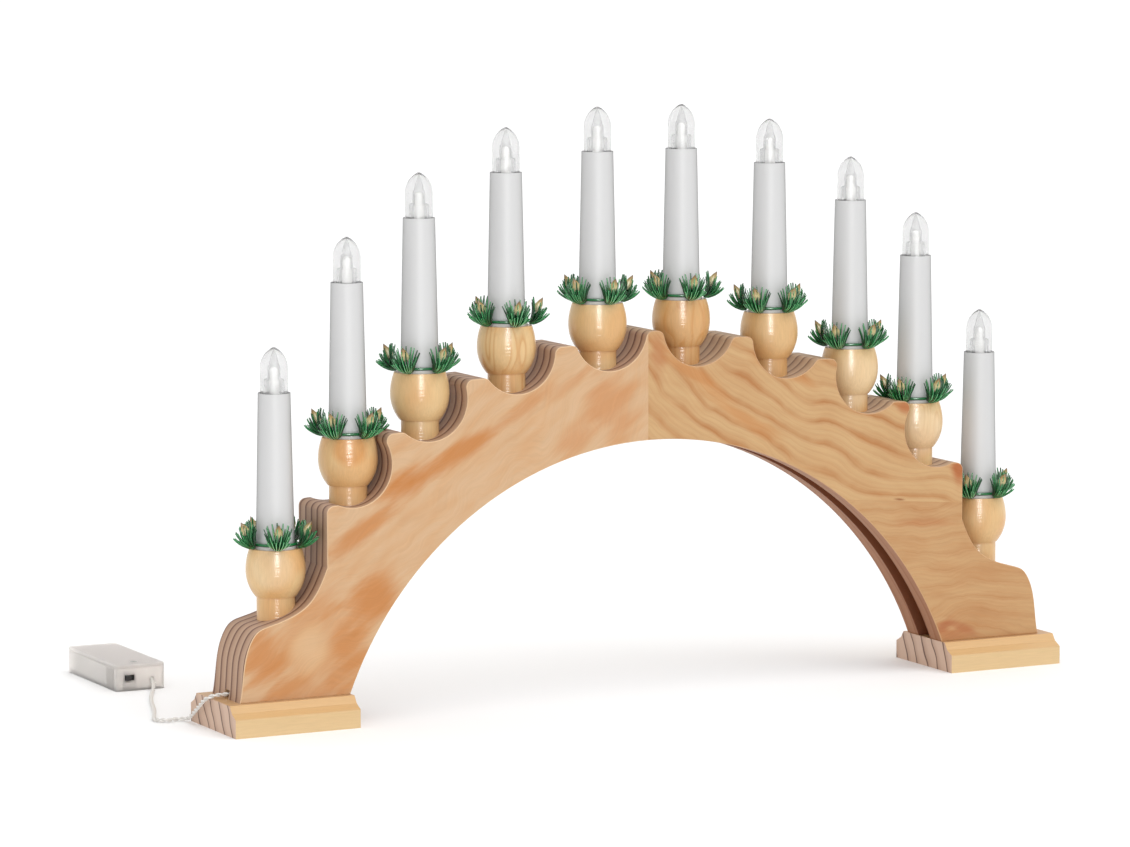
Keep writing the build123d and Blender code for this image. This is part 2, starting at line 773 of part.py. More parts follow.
def make_lead():
    """The lead from the hole in the left leg to the battery case."""
    radii = bend_radii(lead_route)
    path = FilletPolyline(*lead_route, radius=radii)
    start = Plane(path @ 0, z_dir=path % 0)
    lead = sweep(start * Circle(lead_radius), path=path)
    print("lead length", round(path.length, 1))
    print("lead radii", [round(radius, 1) for radius in radii])
    section = start * Circle(lead_radius)
    print("lead volume share", round(lead.volume / (section.area * path.length), 4))
    return lead


def main():
    """Build each piece and write it."""
    os.makedirs("parts", exist_ok=True)
    left, right, leg = make_boards()
    write(left, "arch_left_board")
    write(right, "arch_right_board")
    write(leg, "arch_right_leg_block")
    write(make_dowels(), "seam_dowels")
    write(make_foot(-1), "foot_left")
    write(make_foot(1), "foot_right")
    write(make_screws(), "foot_screws")
    cup = make_cup()
    sleeve = make_sleeve()
    cap = make_cap()
    ring = make_ring()
    holder = make_holder()
    light = make_light()
    holders = []
    lights = []
    for number, x, rim in candles():
        mouth = rim + sleeve_height
        write(Pos(x, 0, rim) * cup, f"candle_cup_{number:02d}")
        write(Pos(x, 0, rim) * sleeve, f"candle_sleeve_{number:02d}")
        write(Pos(x, 0, mouth) * cap, f"flame_cap_{number:02d}")
        turned_ring = Pos(x, 0, rim + ring_rise) * Rot(0, 0, ring_turns[number - 1]) * ring
        write(turned_ring, f"candle_ring_{number:02d}")
        holders.append(Pos(x, 0, mouth) * holder)
        lights.append(Pos(x, 0, mouth + holder_post_rise) * light)
    write(Compound(holders), "lamp_holders")
    write(Compound(lights), "lights")
    write(make_harness(), "wiring_harness")
    write(make_risers(), "riser_wires")
    write(make_staples(), "wire_staples")
    write(make_case(), "battery_case")
    write(make_lid(), "battery_cover")
    write(make_lid_screw(), "cover_screw")
    write(make_contacts(), "battery_contacts")
    write(make_switch_body(), "switch_housing")
    write(make_lever(), "switch_lever")
    write(make_lead(), "lead_cord")


main()
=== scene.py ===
# %% [markdown]
# # A wooden candle arch with ten electric candles
#
# The CAD model is the frame: every board, cup, sleeve and screw already stands where it belongs.
# This notebook dresses it. Plain nodes get procedural materials, and three kinds of piece are
# modelled again in finer detail: the lead, the clear caps and the rings of fir.

# %% Load the CAD frame
from math import cos, pi, radians, sin

import bpy
import numpy as np
from mathutils import Matrix, Vector


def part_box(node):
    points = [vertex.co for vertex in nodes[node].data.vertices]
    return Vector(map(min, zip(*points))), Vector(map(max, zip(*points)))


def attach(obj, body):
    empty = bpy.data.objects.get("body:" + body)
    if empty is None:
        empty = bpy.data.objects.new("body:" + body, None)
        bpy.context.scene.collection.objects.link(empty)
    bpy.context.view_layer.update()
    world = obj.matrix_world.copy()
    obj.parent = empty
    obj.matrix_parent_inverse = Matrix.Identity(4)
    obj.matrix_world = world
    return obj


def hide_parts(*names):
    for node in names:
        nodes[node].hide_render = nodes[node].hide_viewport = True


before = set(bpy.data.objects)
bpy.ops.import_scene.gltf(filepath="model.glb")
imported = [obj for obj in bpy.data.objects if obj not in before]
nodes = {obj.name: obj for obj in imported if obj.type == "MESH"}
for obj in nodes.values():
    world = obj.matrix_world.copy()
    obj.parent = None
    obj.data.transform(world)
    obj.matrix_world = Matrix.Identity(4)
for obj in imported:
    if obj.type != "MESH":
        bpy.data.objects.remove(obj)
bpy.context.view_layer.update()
MM = 0.001

# %% [markdown]
# ## Camera
# The photograph was taken from the front left, slightly above, with a long lens. Yaw turns the
# camera right from looking along +Y, and pitch tips it down. The standard view keeps hex colours
# as they are, so a white background stays white.

# %% Camera
yaw, pitch, roll = radians(26.896), radians(6.984), radians(-0.085)
ahead = Vector((sin(yaw) * cos(pitch), cos(yaw) * cos(pitch), -sin(pitch)))
level_right = Vector((cos(yaw), -sin(yaw), 0))
level_up = level_right.cross(ahead)
right = level_right * cos(roll) + level_up * sin(roll)
up = level_up * cos(roll) - level_right * sin(roll)

camera = bpy.data.objects.new("camera", bpy.data.cameras.new("camera"))
bpy.context.scene.collection.objects.link(camera)
camera.matrix_world = Matrix((right, up, -ahead)).transposed().to_4x4()
camera.location = (-1.39710, -2.65335, 0.53401)
camera.data.sensor_width = 36
camera.data.lens = 156.77
camera.data.clip_end = 100
bpy.context.scene.camera = camera
bpy.context.scene.view_settings.view_transform = "Standard"
print("camera at", tuple(round(v, 3) for v in camera.location))

# %% [markdown]
# ## The lead
# The lead is a twisted pair. Its route is a smooth NURBS line through the same points as the CAD
# solid, and each strand winds round that line.

# %% Route of the lead
lead_route = (
    (-266.0, 0.0, 20.9), (-276.0, 0.4, 20.7), (-284.4, 0.7, 20.5), (-288.5, 4.2, 18.2),
    (-288.4, 11.0, 13.7), (-288.4, 19.0, 8.8), (-288.4, 25.8, 4.6), (-288.5, 30.7, 2.2),
    (-290.8, 34.3, 1.6), (-294.8, 35.6, 1.6), (-298.9, 34.0, 1.6), (-302.6, 34.9, 1.6),
    (-305.2, 38.0, 1.6), (-305.6, 42.2, 1.6), (-303.5, 47.6, 1.6), (-299.4, 56.5, 1.6),
    (-293.6, 71.0, 1.6), (-287.0, 91.0, 1.6), (-279.9, 110.0, 1.6), (-273.8, 123.5, 1.6),
    (-269.2, 132.4, 1.7), (-266.4, 138.4, 4.5), (-264.9, 143.8, 6.4), (-264.82, 149.0, 6.4),
)
route_curve = bpy.data.curves.new("lead_route", "CURVE")
route_curve.dimensions = "3D"
route_spline = route_curve.splines.new("NURBS")
route_spline.points.add(len(lead_route) - 1)
for point, place in zip(route_spline.points, lead_route):
    point.co = (*(v * MM for v in place), 1)
route_spline.order_u = 3
route_spline.use_endpoint_u = True
route_curve.resolution_u = 16
route_object = bpy.data.objects.new("lead_route", route_curve)
bpy.context.scene.collection.objects.link(route_object)
bpy.context.view_layer.update()
route_mesh = bpy.data.meshes.new_from_object(route_object)
lead_path = np.array([v.co for v in route_mesh.vertices])
bpy.data.objects.remove(route_object)

# %% [markdown]
# A tube is rings of points carried along a line. `frames_along` turns its frame as little as it
# can from point to point, so the strands don't kink where the line bends.

# %% Tubes along a line
def mesh_object(name, vertices, faces, smooth=True):
    """A new object from points and faces."""
    mesh = bpy.data.meshes.new(name)
    mesh.from_pydata([tuple(v) for v in vertices], [], faces)
    mesh.polygons.foreach_set("use_smooth", [smooth] * len(mesh.polygons))
    made = bpy.data.objects.new(name, mesh)
    bpy.context.scene.collection.objects.link(made)
    return made


def resampled(points, spacing):
    """The same line with points at an even spacing."""
    steps = np.linalg.norm(np.diff(points, axis=0), axis=1)
    along = np.concatenate([[0], np.cumsum(steps)])
    places = np.linspace(0, along[-1], int(along[-1] / spacing) + 1)
    return np.stack([np.interp(places, along, points[:, i]) for i in range(3)], axis=1)


def frames_along(points):
    """Tangent and two side directions at each point of a line."""
    tangents = np.gradient(points, axis=0)
    tangents /= np.linalg.norm(tangents, axis=1)[:, None]
    side = np.cross(tangents[0], (0.0, 0.0, 1.0))
    sides = []
    for tangent in tangents:
        side = side - tangent * (side @ tangent)
        side = side / np.linalg.norm(side)
        sides.append(side)
    sides = np.array(sides)
    return tangents, sides, np.cross(tangents, sides)


def tube(points, radius, around=10):
    """Vertices and faces of a closed round tube along a line."""
    _, first, second = frames_along(points)
    turns = np.arange(around) * 2 * pi / around
    vertices = []
    for centre, a, b in zip(points, first, second):
        vertices += [centre + radius * (cos(t) * a + sin(t) * b) for t in turns]
    faces = []
    for ring in range(len(points) - 1):
        for i in range(around):
            low, high = ring * around, (ring + 1) * around
            faces.append((low + i, high + i, high + (i + 1) % around, low + (i + 1) % around))
    faces.append(tuple(range(around)))
    last = (len(points) - 1) * around
    faces.append(tuple(last + i for i in reversed(range(around))))
    return vertices, faces


# %% Twist the pair
strand_radius = 0.66 * MM
strand_offset = 0.64 * MM
twist_pitch = 8.5 * MM
lead_spacing = 0.45 * MM
lead_line = resampled(lead_path, lead_spacing)
_, lead_side, lead_top = frames_along(lead_line)
turn = 2 * pi * np.arange(len(lead_line)) * lead_spacing / twist_pitch
lead_vertices, lead_faces = [], []
for phase in (0, pi):
    swing = np.cos(turn + phase)[:, None] * lead_side + np.sin(turn + phase)[:, None] * lead_top
    vertices, faces = tube(lead_line + strand_offset * swing, strand_radius)
    start = len(lead_vertices)
    lead_vertices += vertices
    lead_faces += [tuple(start + i for i in face) for face in faces]
lead = mesh_object("lead_twisted_pair", lead_vertices, lead_faces)
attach(lead, "arch")
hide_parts("lead_cord")
print("lead faces:", len(lead.data.polygons))

# %% [markdown]
# ## Materials
# Colours are written as the hex codes a painter would pick and turned linear. `add` is the only
# node helper: it makes a node, sets it up and links what it is given.

# %% Helpers for materials
def colour(code):
    """An sRGB hex colour as the linear RGBA that sockets take."""
    values = [int(code[i:i + 2], 16) / 255 for i in (1, 3, 5)]
    return [v / 12.92 if v <= 0.04045 else ((v + 0.055) / 1.055) ** 2.4 for v in values] + [1]


def add(tree, kind, inputs=(), stops=(), **settings):
    """Add a node; inputs maps sockets to values or links, stops fills its colour ramp."""
    made = tree.nodes.new(kind)
    for name, value in settings.items():
        setattr(made, name, value)
    for key, value in dict(inputs).items():
        if isinstance(value, bpy.types.NodeSocket):
            tree.links.new(value, made.inputs[key])
        else:
            made.inputs[key].default_value = value
    for index, (place, code) in enumerate(stops):
        elements = made.color_ramp.elements
        stop = elements[index] if index < len(elements) else elements.new(place)
        stop.position = place
        stop.color = colour(code)
    return made


def material(name, **values):
    """A material, its node tree and its Principled shader, with constant values set on it."""
    made = bpy.data.materials.new(name)
    made.use_nodes = True
    shader = made.node_tree.nodes["Principled BSDF"]
    for socket, value in values.items():
        socket = socket.replace("_", " ")
        shader.inputs[socket].default_value = colour(value) if isinstance(value, str) else value
    return made, made.node_tree, shader


def give(surface, *names):
    """Put one material on CAD nodes."""
    for name in names:
        mesh = nodes[name].data
        mesh.materials.clear()
        mesh.materials.append(surface)


# %% [markdown]
# ### Pine boards
# Flat sawn pine shows its growth rings twice. On the faces they are broad bands that follow the
# trunk, drawn here as the distance from a far centre, bent by noise. On the sawn edges the same
# rings are thin dark lines that run beside the faces. The boards are planed and bare, so they
# are dull. All lengths in these nodes are millimetres.

# %% Growth rings on a face
def growth_rings(tree, flat, centre, squeeze, first, pitch, bend, ripple, lines, base, band):
    """The bands' colour, the distance from their centre and the slow noise that bends them."""
    away = add(tree, "ShaderNodeVectorMath", {0: flat, 1: (-centre[0], 0, -centre[1])}).outputs[0]
    away = add(
        tree, "ShaderNodeVectorMath", {0: away, 1: (1 / squeeze[0], 0, 1 / squeeze[1])},
        operation="MULTIPLY",
    ).outputs[0]
    reach = add(tree, "ShaderNodeVectorMath", {0: away}, operation="LENGTH").outputs[1]
    slow = add(
        tree, "ShaderNodeTexNoise", {"Vector": flat, "Scale": 0.017, "Detail": 1.5}
    ).outputs[0]
    quick = add(
        tree, "ShaderNodeTexNoise", {"Vector": flat, "Scale": 0.07, "Detail": 3.0}
    ).outputs[0]
    for noise, height in ((slow, bend), (quick, ripple)):
        shift = add(
            tree, "ShaderNodeMapRange", {0: noise, 1: 0.25, 2: 0.75, 3: -height, 4: height}
        ).outputs[0]
        reach = add(tree, "ShaderNodeMath", {0: reach, 1: shift}, operation="ADD").outputs[0]
    rings = add(
        tree, "ShaderNodeMapRange", {0: reach, 1: first, 2: first + pitch}, clamp=False
    ).outputs[0]
    ring = add(tree, "ShaderNodeMath", {0: rings}, operation="FRACT").outputs[0]
    line = add(tree, "ShaderNodeValToRGB", {0: ring}, lines).outputs[0]

    # The bands fade and return in places
    patchy = add(
        tree, "ShaderNodeTexNoise", {"Vector": flat, "Scale": 0.035, "Detail": 2.0}
    ).outputs[0]
    patchy = add(
        tree, "ShaderNodeMapRange", {0: patchy, 1: 0.34, 2: 0.60, 3: 0.3, 4: 1.0}
    ).outputs[0]
    line = add(tree, "ShaderNodeMath", {0: line, 1: patchy}, operation="MULTIPLY").outputs[0]
    face = add(
        tree, "ShaderNodeMix", {0: line, 6: colour(base), 7: colour(band)}, data_type="RGBA"
    ).outputs[2]

    # Four faint lines to a ring
    fine = add(tree, "ShaderNodeMath", {0: rings, 1: 4.0}, operation="MULTIPLY").outputs[0]
    fine = add(tree, "ShaderNodeMath", {0: fine}, operation="FRACT").outputs[0]
    fine = add(
        tree, "ShaderNodeMapRange", {0: fine, 1: 0.45, 2: 1.0, 3: 0.0, 4: 0.13}
    ).outputs[0]
    face = add(
        tree, "ShaderNodeMix", {0: fine, 6: face, 7: colour(band)}, data_type="RGBA"
    ).outputs[2]
    return face, reach, slow


# %% [markdown]
# Resin darkens pine in soft clouds and in patches with ragged borders. Both follow one long
# drawn noise, the streaks. A patch is an ellipse at a chosen place, and the streaks are taken
# from its distance, so they break up its border and its depth.

# %% Streaks, clouds and resin patches
def resin_marks(tree, flat, face, flow, cloud, band, patches):
    """The face with its clouds and patches; flow is the streaks' slope in degrees."""
    streak = add(
        tree, "ShaderNodeVectorRotate", {"Vector": flat, "Angle": radians(flow)},
        rotation_type="Y_AXIS",
    ).outputs[0]
    streak = add(
        tree, "ShaderNodeVectorMath", {0: streak, 1: (0.22, 0, 1)}, operation="MULTIPLY"
    ).outputs[0]
    streak = add(
        tree, "ShaderNodeTexNoise", {"Vector": streak, "Scale": 0.11, "Detail": 3.5}
    ).outputs[0]
    clouds = add(
        tree, "ShaderNodeMapRange", {0: streak, 1: 0.42, 2: 0.68, 3: 0.0, 4: cloud}
    ).outputs[0]
    face = add(
        tree, "ShaderNodeMix", {0: clouds, 6: face, 7: colour(band)}, data_type="RGBA"
    ).outputs[2]
    for x, z, long, high, tilt, strength, code in patches:
        part = add(tree, "ShaderNodeVectorMath", {0: flat, 1: (-x, 0, -z)}).outputs[0]
        part = add(
            tree, "ShaderNodeVectorRotate", {"Vector": part, "Angle": radians(tilt)},
            rotation_type="Y_AXIS",
        ).outputs[0]
        part = add(
            tree, "ShaderNodeVectorMath", {0: part, 1: (1 / long, 0, 1 / high)},
            operation="MULTIPLY",
        ).outputs[0]
        far = add(tree, "ShaderNodeVectorMath", {0: part}, operation="LENGTH").outputs[1]
        far = add(
            tree, "ShaderNodeMath", {0: streak, 1: -1.7, 2: far}, operation="MULTIPLY_ADD"
        ).outputs[0]
        mask = add(
            tree, "ShaderNodeMapRange", {0: far, 1: -0.62, 2: 0.52, 3: strength, 4: 0.0},
            interpolation_type="SMOOTHSTEP",
        ).outputs[0]
        face = add(
            tree, "ShaderNodeMix", {0: mask, 6: face, 7: colour(code)}, data_type="RGBA"
        ).outputs[2]
    return face


# %% [markdown]
# The sawn edges show the rings end on. The wall of the opening is plainer and redder, and the
# wiring groove in it is painted darker still, as painted shade in the recess. Both are known by
# the distance from the opening's centre, which lies below the table.

# %% Sawn edges, the opening and its groove
opening_centre, opening_wall, groove_floor, groove_half = -61.0, 220.6, 236.0, 7.4
ring_spacing = 8.3


def sawn_edge(tree, depth, slow, middle, tone, edge):
    """Thin dark lines along the board's edge, and the plainer wall of the opening."""
    pale, tan, dark, wall = edge[:4]
    across = add(
        tree, "ShaderNodeMath", {0: slow, 1: 9.0, 2: depth}, operation="MULTIPLY_ADD"
    ).outputs[0]
    across = add(
        tree, "ShaderNodeMath", {0: across, 1: ring_spacing}, operation="DIVIDE"
    ).outputs[0]
    across = add(tree, "ShaderNodeMath", {0: across}, operation="FRACT").outputs[0]
    sawn = add(
        tree, "ShaderNodeValToRGB", {0: across},
        [(0.0, pale), (0.6, tan), (0.84, dark), (0.89, dark), (1.0, pale)],
    ).outputs[0]
    sawn = add(
        tree, "ShaderNodeVectorMath", {0: sawn, "Scale": tone}, operation="SCALE"
    ).outputs[0]
    opening = add(
        tree, "ShaderNodeMapRange",
        {0: middle, 1: opening_wall, 2: opening_wall + 0.8, 3: 0.85, 4: 0.0},
    ).outputs[0]
    return add(
        tree, "ShaderNodeMix", {0: opening, 6: sawn, 7: colour(wall)}, data_type="RGBA"
    ).outputs[2]


# %% [markdown]
# The normal says what a point belongs to: a face looks along Y, a sawn edge across it, and the
# eased corner between them is painted pale, a painted highlight. Real pine fibre is finer than
# a tenth of a millimetre.
# It is drawn about a millimetre across, as coarse as it has to be to show in the render, and
# gives a bump as well as a tone.

# %% Pine board material
def pine_board(
    name, centre, squeeze, first, pitch, bend, ripple, flow, cloud, lines, base, band, patches,
    edge, eased_highlight,
):
    """Board pine: ring centre, spacing and bends, the way the streaks run, then its colours."""
    made, tree, shader = material(name, Roughness=0.52, Specular_IOR_Level=0.25)
    place = add(tree, "ShaderNodeTexCoord").outputs["Object"]
    mm = add(
        tree, "ShaderNodeVectorMath", {0: place, "Scale": 1000.0}, operation="SCALE"
    ).outputs[0]
    flat = add(
        tree, "ShaderNodeVectorMath", {0: mm, 1: (1, 0, 1)}, operation="MULTIPLY"
    ).outputs[0]
    axes = add(tree, "ShaderNodeSeparateXYZ", {0: mm}).outputs
    face, reach, slow = growth_rings(
        tree, flat, centre, squeeze, first, pitch, bend, ripple, lines, base, band
    )
    face = resin_marks(tree, flat, face, flow, cloud, band, patches)

    # Fibre, drawn out along X
    along = add(tree, "ShaderNodeMath", {0: axes[0], 1: 0.05}, operation="MULTIPLY").outputs[0]
    fibre = add(tree, "ShaderNodeCombineXYZ", {0: reach, 1: axes[1], 2: along}).outputs[0]
    fibre = add(
        tree, "ShaderNodeTexNoise", {"Vector": fibre, "Scale": 0.9, "Detail": 2.0}
    ).outputs[0]
    tone = add(
        tree, "ShaderNodeMapRange", {0: fibre, 1: 0.25, 2: 0.75, 3: 0.95, 4: 1.04}
    ).outputs[0]
    face = add(
        tree, "ShaderNodeVectorMath", {0: face, "Scale": tone}, operation="SCALE"
    ).outputs[0]

    # Edge, eased corner and face, told apart by the normal
    middle = add(tree, "ShaderNodeVectorMath", {0: flat, 1: (0, 0, -opening_centre)}).outputs[0]
    middle = add(tree, "ShaderNodeVectorMath", {0: middle}, operation="LENGTH").outputs[1]
    sawn = sawn_edge(tree, axes[1], slow, middle, tone, edge)
    normal = add(tree, "ShaderNodeNewGeometry").outputs["Normal"]
    normal = add(tree, "ShaderNodeSeparateXYZ", {0: normal}).outputs
    facing = add(tree, "ShaderNodeMath", {0: normal[1]}, operation="ABSOLUTE").outputs[0]
    is_face = add(tree, "ShaderNodeMapRange", {0: facing, 1: 0.80, 2: 0.95}).outputs[0]
    # The eased corner between face and edge is painted pale: a painted highlight.
    on_eased_highlight = add(tree, "ShaderNodeMapRange", {0: facing, 1: 0.45, 2: 0.6}).outputs[0]
    mixed = add(
        tree, "ShaderNodeMix", {0: on_eased_highlight, 6: sawn, 7: colour(eased_highlight)}, data_type="RGBA"
    ).outputs[2]
    mixed = add(
        tree, "ShaderNodeMix", {0: is_face, 6: mixed, 7: face}, data_type="RGBA"
    ).outputs[2]

    # The groove, painted darker as painted shade in the recess: near the middle of the thickness
    # and close to the opening
    depth = add(tree, "ShaderNodeMath", {0: axes[1]}, operation="ABSOLUTE").outputs[0]
    inside = add(
        tree, "ShaderNodeMapRange", {0: depth, 1: groove_half, 2: groove_half + 0.6, 3: 1.0, 4: 0.0}
    ).outputs[0]
    near = add(
        tree, "ShaderNodeMapRange",
        {0: middle, 1: groove_floor, 2: groove_floor + 1.0, 3: 1.0, 4: 0.0},
    ).outputs[0]
    inside = add(tree, "ShaderNodeMath", {0: inside, 1: near}, operation="MULTIPLY").outputs[0]
    mixed = add(
        tree, "ShaderNodeMix", {0: inside, 6: mixed, 7: colour(edge[4])}, data_type="RGBA"
    ).outputs[2]
    tree.links.new(mixed, shader.inputs["Base Color"])
    bump = add(tree, "ShaderNodeBump", {"Height": fibre, "Strength": 0.06, "Distance": 0.0004})
    tree.links.new(bump.outputs[0], shader.inputs["Normal"])
    return made


# %% [markdown]
# The three boards were cut from different planks, so each has its own ring centre and colours.
# The left plank is nearly plain, with broad orange resin patches. The right one shows close
# growth lines that sweep down to the leg, and the leg block has a flame above the foot. A patch
# is given by its place, length, height, slope, strength and colour. The five edge colours are
# the pale and the tan wood, the dark line, the wall of the opening and the groove's painted shade.

# %% Three boards of pine
resin, dark_resin, pink = "#C17D40", "#AD6031", "#C68A58"
left_pine = pine_board(
    "pine_left_plank", centre=(-330, 420), squeeze=(1, 1), first=0, pitch=58, bend=16, ripple=2,
    flow=34, cloud=0.5,
    lines=[
        (0.0, "#181818"), (0.3, "#000000"), (0.6, "#101010"), (0.85, "#404040"), (1.0, "#181818"),
    ],
    base="#D0AC86", band="#C9935F",
    patches=[
        (-228, 46, 40, 34, 0, 0.4, "#C98F58"),
        (-165, 143, 26, 8, 28, 1.0, resin), (-128, 162, 28, 5.5, 26, 0.85, resin),
        (-92, 181, 28, 5, 30, 0.5, resin), (-60, 196, 18, 5, 30, 0.35, resin),
        (-200, 114, 30, 7, 33, 0.75, resin), (-190, 74, 20, 15, 30, 0.88, resin),
        (-208, 52, 13, 22, 25, 0.7, resin), (-214, 30, 12, 14, 0, 0.5, resin),
        (-262, 46, 15, 22, 15, 0.75, resin), (-238, 24, 30, 8, 0, 0.45, resin),
        (-228, 70, 28, 8, 38, 0.4, resin), (-32, 182, 20, 24, 40, 0.7, pink),
        (-55, 163, 16, 9, 25, 0.6, pink), (-231, 49, 12, 14, 0, 0.75, "#D6B187"),
    ],
    edge=("#BC9B82", "#AE8B72", "#6B4837", "#A57B5A", "#8A5A3C"), eased_highlight="#DDBB94",
)
right_pine = pine_board(
    "pine_right_plank", centre=(247, 442), squeeze=(1, 1), first=0, pitch=13.6, bend=7, ripple=0.9,
    flow=-22, cloud=0.22,
    lines=[
        (0.0, "#383838"), (0.14, "#000000"), (0.36, "#101010"), (0.60, "#707070"),
        (0.76, "#C8C8C8"), (0.84, "#E8E8E8"), (0.93, "#808080"), (1.0, "#383838"),
    ],
    base="#CAA475", band="#AB6C36",
    patches=[
        (217, 127, 6, 12, 0, 0.9, dark_resin), (178, 170, 7, 6, 0, 0.7, dark_resin),
        (173.5, 111.2, 4.5, 1.0, -8, 0.8, "#8A4A22"), (2, 212, 6, 14, 0, 0.45, dark_resin),
        (30, 196, 30, 5, -36, 0.6, resin), (60, 170, 34, 5, -33, 0.5, resin),
        (90, 196, 26, 4, -25, 0.5, resin),
    ],
    edge=("#BFA283", "#B09072", "#7D5E45", "#96603C", "#7C4527"), eased_highlight="#C9A078",
)
leg_pine = pine_board(
    "pine_leg_block", centre=(222, 12), squeeze=(2.8, 1), first=4, pitch=10.5, bend=7, ripple=1.5,
    flow=-4, cloud=0.4,
    lines=[
        (0.0, "#303030"), (0.15, "#000000"), (0.6, "#080808"), (0.80, "#707070"),
        (0.87, "#B0B0B0"), (0.93, "#505050"), (1.0, "#303030"),
    ],
    base="#C49B6D", band="#AD713E",
    patches=[
        (206, 28, 8, 4.5, 24, 0.75, "#A85F38"), (220, 26, 13, 3.0, -22, 0.55, "#A85F38"),
        (212, 23, 16, 4, 0, 0.5, dark_resin), (190, 95, 26, 3, -3, 0.3, dark_resin),
    ],
    edge=("#CDAC92", "#BE9B82", "#7F5B46", "#96603C", "#7C4527"), eased_highlight="#CBA176",
)
give(left_pine, "arch_left_board")
give(right_pine, "arch_right_board")
give(leg_pine, "arch_right_leg_block")
print("board materials:", left_pine.name, right_pine.name, leg_pine.name)

# %% [markdown]
# ### Feet
# The moulded feet are straight grained: the rings run the whole length, and only the sawn ends
# cut across them, where they show as slanted dark lines about 12 mm apart. Planed by the
# moulder, they are smoother and shinier than the boards. The slopes are warmer, and the level
# top is painted darker and warmer as painted shade.

# %% Foot material
foot_pine, tree, shader = material("pine_foot_moulding", Roughness=0.4, Specular_IOR_Level=0.4)
place = add(tree, "ShaderNodeTexCoord").outputs["Object"]
mm = add(tree, "ShaderNodeVectorMath", {0: place, "Scale": 1000.0}, operation="SCALE").outputs[0]
axes = add(tree, "ShaderNodeSeparateXYZ", {0: mm}).outputs
long_grain = add(
    tree, "ShaderNodeVectorMath", {0: mm, 1: (0.06, 1, 1)}, operation="MULTIPLY"
).outputs[0]
slow = add(
    tree, "ShaderNodeTexNoise", {"Vector": long_grain, "Scale": 0.05, "Detail": 1.0}
).outputs[0]
slanted = add(
    tree, "ShaderNodeMath", {0: axes[2], 1: -0.47, 2: axes[1]}, operation="MULTIPLY_ADD"
).outputs[0]
slanted = add(
    tree, "ShaderNodeMath", {0: slow, 1: 9.0, 2: slanted}, operation="MULTIPLY_ADD"
).outputs[0]
rings = add(tree, "ShaderNodeMath", {0: slanted, 1: 12.4}, operation="DIVIDE").outputs[0]
ring = add(tree, "ShaderNodeMath", {0: rings}, operation="FRACT").outputs[0]
end_grain = add(
    tree, "ShaderNodeValToRGB", {0: ring},
    [(0.0, "#6A4A3A"), (0.06, "#D0B09A"), (0.5, "#CEAF98"), (0.88, "#BC9A84"), (0.95, "#6A4A3A")],
).outputs[0]
side_grain = add(
    tree, "ShaderNodeValToRGB", {0: ring},
    [(0.0, "#D9B988"), (0.5, "#DBBD8E"), (0.9, "#CFA66E"), (1.0, "#D9B988")],
).outputs[0]
warm = add(tree, "ShaderNodeMapRange", {0: axes[2], 1: 10.6, 2: 11.6, 3: 0.0, 4: 0.55}).outputs[0]
side_grain = add(
    tree, "ShaderNodeMix", {0: warm, 6: side_grain, 7: colour("#CFA066")}, data_type="RGBA"
).outputs[2]
fibre = add(
    tree, "ShaderNodeTexNoise", {"Vector": long_grain, "Scale": 1.3, "Detail": 2.0}
).outputs[0]
tone = add(tree, "ShaderNodeMapRange", {0: fibre, 1: 0.25, 2: 0.75, 3: 0.95, 4: 1.04}).outputs[0]
side_grain = add(
    tree, "ShaderNodeVectorMath", {0: side_grain, "Scale": tone}, operation="SCALE"
).outputs[0]
normal = add(tree, "ShaderNodeNewGeometry").outputs["Normal"]
normal = add(tree, "ShaderNodeSeparateXYZ", {0: normal}).outputs
# The level top is painted darker: painted shade.
foot_top_painted_shade = add(tree, "ShaderNodeMapRange", {0: normal[2], 1: 0.9, 2: 0.98}).outputs[0]
side_grain = add(
    tree, "ShaderNodeMix", {0: foot_top_painted_shade, 6: side_grain, 7: colour("#C39A6C")}, data_type="RGBA"
).outputs[2]
facing = add(tree, "ShaderNodeMath", {0: normal[0]}, operation="ABSOLUTE").outputs[0]
is_end = add(tree, "ShaderNodeMapRange", {0: facing, 1: 0.7, 2: 0.9}).outputs[0]
mixed = add(
    tree, "ShaderNodeMix", {0: is_end, 6: side_grain, 7: end_grain}, data_type="RGBA"
).outputs[2]
tree.links.new(mixed, shader.inputs["Base Color"])
bump = add(tree, "ShaderNodeBump", {"Height": fibre, "Strength": 0.05, "Distance": 0.0004})
tree.links.new(bump.outputs[0], shader.inputs["Normal"])
give(foot_pine, "foot_left", "foot_right")
print("foot material:", foot_pine.name)

# %% [markdown]
# ### Turned cups
# The cups were turned with the grain upright, each from its own piece of pine, and varnished.
# The strength of the grain is a step curve along X, one step for each cup, and soft spots at
# chosen places set single cups apart: orange on cup 2, browner on cups 6 and 7, and paler on
# cups 8 and 9. A pale spot on the left side of cup 1 is a painted highlight. Fine marks of the
# turning tool run round the cup: they smear every reflection in the clear coat into the tall
# highlight.

